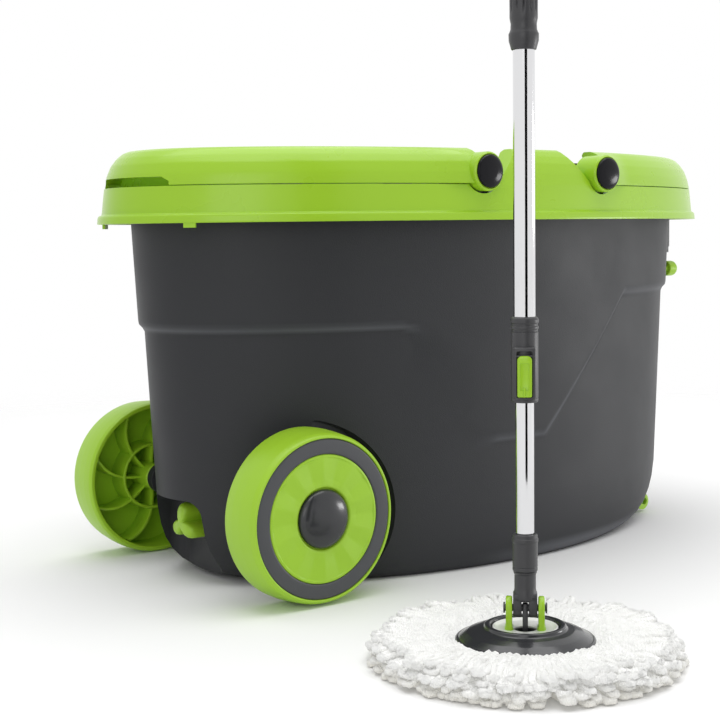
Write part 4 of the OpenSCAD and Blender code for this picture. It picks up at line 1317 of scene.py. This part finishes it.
def loop_path(rng, layer, turn, outer):
    """The centre line of one yarn loop: out from under the plate, round its tip and back."""
    lift, short = YARN_LAYERS[layer]
    reach = outer - short + rng.uniform(-5.0, 3.0)
    gap = rng.uniform(1.9, 2.6)
    legs, tip = 8, 6
    stops = [((i / legs) ** 0.85 * (reach - gap - YARN_INNER), -gap) for i in range(legs)]
    stops += [(reach - gap - YARN_INNER + gap * math.cos(a), gap * math.sin(a))
              for a in (math.pi * (i / (tip - 1) - 0.5) for i in range(tip))]
    stops += [(along, -side) for along, side in reversed(stops[:legs])]
    wander, wave, phase = rng.uniform(-5.0, 5.0), rng.uniform(0.3, 1.1), rng.uniform(0, math.tau)
    droop = rng.uniform(0.0, 4.5) if rng.random() < 0.72 else -rng.uniform(1.0, 2.0 + lift / 3)
    points = []
    for along, side in stops:
        radius = YARN_INNER + along
        share = along / (reach - YARN_INNER)
        sway = side * (0.55 + 0.45 * share) + wander * share ** 2
        sway += wave * math.sin(0.24 * along + phase + side)
        height = lift + 0.9 * math.sin(0.3 * along + 1.7 * phase) - droop * smoothstep(0.6, 1.0, share)
        height = min(height, 8.0 + 8.0 * smoothstep(37.0, 46.0, radius))
        angle = turn + sway / radius
        points.append(Vector((radius * math.cos(angle), radius * math.sin(angle), max(2.2, height))))
    return points


def lay_strand(bm, template, points, radius, phase):
    """Appends one strand along points; its section swells and narrows like chenille."""
    start = len(bm.verts)
    bm.from_mesh(template)
    bm.verts.ensure_lookup_table()
    last = len(points) - 1
    for vert in bm.verts[start:]:
        ring = min(last, max(0, round(vert.co.z)))
        turn = math.atan2(vert.co.y, vert.co.x)
        ahead = (points[min(ring + 1, last)] - points[max(ring - 1, 0)]).normalized()
        side = ahead.cross(Vector((0, 0, 1))).normalized()
        up = side.cross(ahead)
        swell = 1.0 + 0.13 * math.cos(2 * turn + 2.1 * ring + phase) + 0.13 * math.sin(2.6 * ring + phase)
        vert.co = points[ring] + (side * math.cos(turn) + up * math.sin(turn)) * radius * swell


def make_yarn():
    """All the loops of yarn, layer by layer, in three pieces."""
    props = bpy.context.scene.spin_mop_yarn
    rng = random.Random(props.seed)
    outer = (YARN_HIGH.x - YARN_LOW.x) / 2
    per_layer = props.loops // len(YARN_LAYERS)
    for name, layers in YARN_PIECES:
        bm = bmesh.new()
        bm.loops.layers.uv.new("strand")
        template = strand_template(STRAND_RINGS, STRAND_SIDES)
        for layer in layers:
            for k in range(per_layer):
                turn = math.tau * (k + 0.4 * layer + rng.uniform(-0.35, 0.35)) / per_layer
                points = loop_path(rng, layer, turn, outer)
                radius = props.strand * rng.uniform(0.88, 1.12)
                lay_strand(bm, template, points, radius, rng.uniform(0, 6))
        bpy.data.meshes.remove(template)
        bmesh.ops.recalc_face_normals(bm, faces=bm.faces)
        piece = as_object(moved(bm, mop_place()), name, microfibre(), sharp=80)
        settle(piece, "mop_head", "microfibre")
    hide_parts("yarn_ring")


# ---------- carried-over CAD nodes ----------

CARRIED = {
    lime_satin: ("rim_clips", "basket", "wash_disc", "front_lugs"),
    charcoal_satin: ("pivot_brackets", "drain_collar", "dispenser_plate", "tilt_pin", "lever_pin"),
    drawn_steel: ("wheel_axles", "axle_clips", "basket_pin", "drive_rod"),
    slate_matte: ("basket_post", "basket_hub", "wash_post"),
    white_gloss: ("basket_bush", "dispenser_tank", "yarn_clamp", "drive_nut", "guide_bush", "rod_plug"),
    seal_rubber: ("drain_seal",),
}


def dress_carried():
    for finish, nodes in CARRIED.items():
        for node in nodes:
            mesh = frame["nodes"][node].data
            mesh.materials.clear()
            mesh.materials.append(finish())


# ---------- stage ----------

CAMERA_AT = Vector((-0.7253, -0.8736, 0.2403))
HEADING = math.radians(37.13)
PITCH = math.radians(5.03)
ROLL = math.radians(-0.72)
SENSOR = 36.0        # width of the camera's sensor in millimetres
LENS = 73.11         # and its focal length
AMBIENT = 0.58       # strength of the room's light on the object
SEEN = 0.42          # added to it where the camera looks straight at the room
MIRRORED = 0.5       # and where the room is reflected
FLAG_HALF = (62.0, 700.0)        # half width and half height of the dark card
FLAG_GAP = 260.0                 # from the mop to the card
FLAG_TURN = math.radians(15)     # how far the card stands to the side of the camera
FLOOR_HALF = 9000.0
FLOOR_FADE = (0.5, 1.3)          # metres from the origin between which the floor fades out


def make_camera():
    level = math.cos(PITCH)
    forward = Vector((math.sin(HEADING) * level, math.cos(HEADING) * level, -math.sin(PITCH)))
    right = Vector((math.cos(HEADING), -math.sin(HEADING), 0))
    up = right.cross(forward)
    rolled_right = right * math.cos(ROLL) + up * math.sin(ROLL)
    rolled_up = up * math.cos(ROLL) - right * math.sin(ROLL)
    data = bpy.data.cameras.new("camera")
    data.lens = LENS
    data.sensor_width = SENSOR
    data.clip_start = 0.01
    camera = bpy.data.objects.new("camera", data)
    axes = Matrix((rolled_right, rolled_up, -forward)).transposed()
    camera.matrix_world = Matrix.Translation(CAMERA_AT) @ axes.to_4x4()
    bpy.context.scene.collection.objects.link(camera)
    bpy.context.scene.camera = camera


def soft_light(name, place, aim, size, power):
    """A rectangular lamp at a place in metres, turned towards aim."""
    data = bpy.data.lights.new(name, "AREA")
    data.shape = "RECTANGLE"
    data.size, data.size_y = size
    data.energy = power
    lamp = bpy.data.objects.new(name, data)
    lamp.location = place
    lamp.rotation_euler = (Vector(aim) - Vector(place)).to_track_quat("-Z", "Y").to_euler()
    bpy.context.scene.collection.objects.link(lamp)


def studio_world():
    """A white room: full white to the eye, and dimmer as the source of ambient light."""
    world = bpy.data.worlds.new("studio")
    world.use_nodes = True
    tree = world.node_tree
    path = add_node(tree, "ShaderNodeLightPath")
    seen = add_node(tree, "ShaderNodeMath", [
        (0, path.outputs["Is Camera Ray"]), (1, SEEN), (2, AMBIENT)], operation="MULTIPLY_ADD")
    level = add_node(tree, "ShaderNodeMath", [
        (0, path.outputs["Is Glossy Ray"]), (1, MIRRORED), (2, seen.outputs[0])], operation="MULTIPLY_ADD")
    tree.links.new(level.outputs[0], tree.nodes["Background"].inputs["Strength"])
    tree.nodes["Background"].inputs["Color"].default_value = (1, 1, 1, 1)
    return world


def make_flag():
    """A dark card beside the camera that only shows as the dark streak along polished metal."""
    bm = bmesh.new()
    bmesh.ops.create_grid(bm, x_segments=1, y_segments=1, size=1.0)
    toward = FLAG_TURN - HEADING
    bmesh.ops.scale(bm, vec=(*FLAG_HALF, 1), verts=bm.verts)
    bmesh.ops.rotate(bm, matrix=Matrix.Rotation(math.pi / 2, 3, "X"), verts=bm.verts)
    bmesh.ops.rotate(bm, matrix=Matrix.Rotation(toward, 3, "Z"), verts=bm.verts)
    spot = mop_place().translation + Vector((math.sin(toward), -math.cos(toward), 0)) * FLAG_GAP
    bmesh.ops.translate(bm, vec=(spot.x, spot.y, FLAG_HALF[1]), verts=bm.verts)
    material, _, shader = new_material("flag_black")
    shader.inputs["Base Color"].default_value = (0.004, 0.004, 0.004, 1)
    shader.inputs["Specular IOR Level"].default_value = 0.0
    flag = as_object(bm, "flag", material)
    flag.visible_camera = flag.visible_diffuse = flag.visible_shadow = False


def make_stage():
    """The pale floor, the white room, three soft lights, the dark card and the camera."""
    scene = bpy.context.scene
    scene.view_settings.view_transform = "Standard"
    bm = bmesh.new()
    bmesh.ops.create_grid(bm, x_segments=8, y_segments=8, size=FLOOR_HALF)
    material, tree, shader = new_material("pale_floor")
    shade = group_node(tree, "colour_drift", [
        ("Vector", object_vector(tree)), ("Colour", (0.95, 0.95, 0.95, 1)), ("Amount", 0.01)])
    tree.links.new(shade.outputs["Colour"], shader.inputs["Base Color"])
    shader.inputs["Roughness"].default_value = 0.8
    shader.inputs["Specular IOR Level"].default_value = 0.1
    reach = add_node(tree, "ShaderNodeVectorMath", [(0, object_vector(tree))], operation="LENGTH")
    fade = add_node(tree, "ShaderNodeMapRange", [
        ("Value", reach.outputs["Value"]), ("From Min", FLOOR_FADE[0]), ("From Max", FLOOR_FADE[1]),
        ("To Min", 1.0), ("To Max", 0.0)], interpolation_type="SMOOTHSTEP")
    tree.links.new(fade.outputs[0], shader.inputs["Alpha"])
    as_object(bm, "floor", material)
    scene.world = studio_world()
    aim = (0.0, -0.1, 0.1)
    soft_light("key_left", (-1.6, -1.6, 0.8), aim, (1.0, 1.0), 4.5)
    soft_light("side_right", (1.45, -0.95, 0.13), aim, (0.6, 0.24), 5.5)
    soft_light("top", (0.0, -0.1, 2.3), aim, (2.4, 2.4), 40)
    make_flag()
    make_camera()


# ---------- operators ----------

def build(makers):
    for maker in makers:
        maker()
    return {"FINISHED"}


class SPINMOP_OT_stage(bpy.types.Operator):
    """Adds the floor, the studio lights and the camera"""
    bl_idname = "spinmop.stage"
    bl_label = "Stage"

    def execute(self, context):
        return build([make_stage])


class SPINMOP_OT_body(bpy.types.Operator):
    """Makes the bucket's moulded body with its step, wheel wells and drain recess"""
    bl_idname = "spinmop.body"
    bl_label = "Bucket body"

    def execute(self, context):
        return build([make_body])


class SPINMOP_OT_rim(bpy.types.Operator):
    """Makes the rim cover with its skirt, deck and raised middle"""
    bl_idname = "spinmop.rim"
    bl_label = "Rim cover"

    def execute(self, context):
        return build([make_rim])


class SPINMOP_OT_handles(bpy.types.Operator):
    """Makes the two carry handles and their pivot pins"""
    bl_idname = "spinmop.handles"
    bl_label = "Carry handles"

    def execute(self, context):
        return build([lambda: make_handle(False), lambda: make_handle(True), make_pins])


class SPINMOP_OT_wheels(bpy.types.Operator):
    """Makes both wheels with their inlays and hub caps"""
    bl_idname = "spinmop.wheels"
    bl_label = "Wheels"

    def execute(self, context):
        return build([make_wheels])


class SPINMOP_OT_fittings(bpy.types.Operator):
    """Makes the drain cap and the soap button"""
    bl_idname = "spinmop.fittings"
    bl_label = "Drain cap and button"

    def execute(self, context):
        return build([make_drain, make_button])


class SPINMOP_OT_mop_head(bpy.types.Operator):
    """Makes the mop plate, its dish and the ears that carry the tilting pin"""
    bl_idname = "spinmop.mop_head"
    bl_label = "Mop head"

    def execute(self, context):
        return build([make_plate, make_ears])


class SPINMOP_OT_yarn(bpy.types.Operator):
    """Lays the microfibre loops round the mop head"""
    bl_idname = "spinmop.yarn"
    bl_label = "Yarn"

    def execute(self, context):
        return build([make_yarn])


class SPINMOP_OT_pole(bpy.types.Operator):
    """Makes the yoke, socket, tubes, lock and grips of the pole"""
    bl_idname = "spinmop.pole"
    bl_label = "Pole"

    def execute(self, context):
        return build([make_yoke, make_socket, make_tubes, make_lock, make_grips])


class SPINMOP_OT_carried(bpy.types.Operator):
    """Gives the CAD parts that stay their own finishes"""
    bl_idname = "spinmop.carried"
    bl_label = "CAD part finishes"

    def execute(self, context):
        return build([dress_carried])


OPERATORS = (
    SPINMOP_OT_stage, SPINMOP_OT_body, SPINMOP_OT_rim, SPINMOP_OT_handles, SPINMOP_OT_wheels,
    SPINMOP_OT_fittings, SPINMOP_OT_mop_head, SPINMOP_OT_yarn, SPINMOP_OT_pole, SPINMOP_OT_carried,
)


class SPINMOP_PT_panel(bpy.types.Panel):
    """Lists the sizes, the colours and the pieces"""
    bl_idname = "SPINMOP_PT_panel"
    bl_label = "Spin mop"
    bl_space_type = "VIEW_3D"
    bl_region_type = "UI"
    bl_category = "Spin mop"

    def draw(self, context):
        layout = self.layout
        for attribute in GROUPS:
            group = getattr(context.scene, attribute)
            for name in group.bl_rna.properties.keys():
                if name not in ("rna_type", "name"):
                    layout.prop(group, name)
        for operator in OPERATORS:
            layout.operator(operator.bl_idname)


GROUPS = {"spin_mop_bucket": SpinMopBucket, "spin_mop_yarn": SpinMopYarn, "spin_mop_finish": SpinMopFinish}
CLASSES = (*GROUPS.values(), *OPERATORS, SPINMOP_PT_panel)


def register():
    for cls in CLASSES:
        bpy.utils.register_class(cls)
    for name, group in GROUPS.items():
        setattr(bpy.types.Scene, name, bpy.props.PointerProperty(type=group))


def unregister():
    for name in GROUPS:
        delattr(bpy.types.Scene, name)
    for cls in reversed(CLASSES):
        bpy.utils.unregister_class(cls)


def main():
    for name in ("Cube", "Light", "Camera"):
        if name in bpy.data.objects:
            bpy.data.objects.remove(bpy.data.objects[name])
    register()
    for operator in OPERATORS:
        group, name = operator.bl_idname.split(".")
        getattr(getattr(bpy.ops, group), name)()


if __name__ == "__main__":
    main()
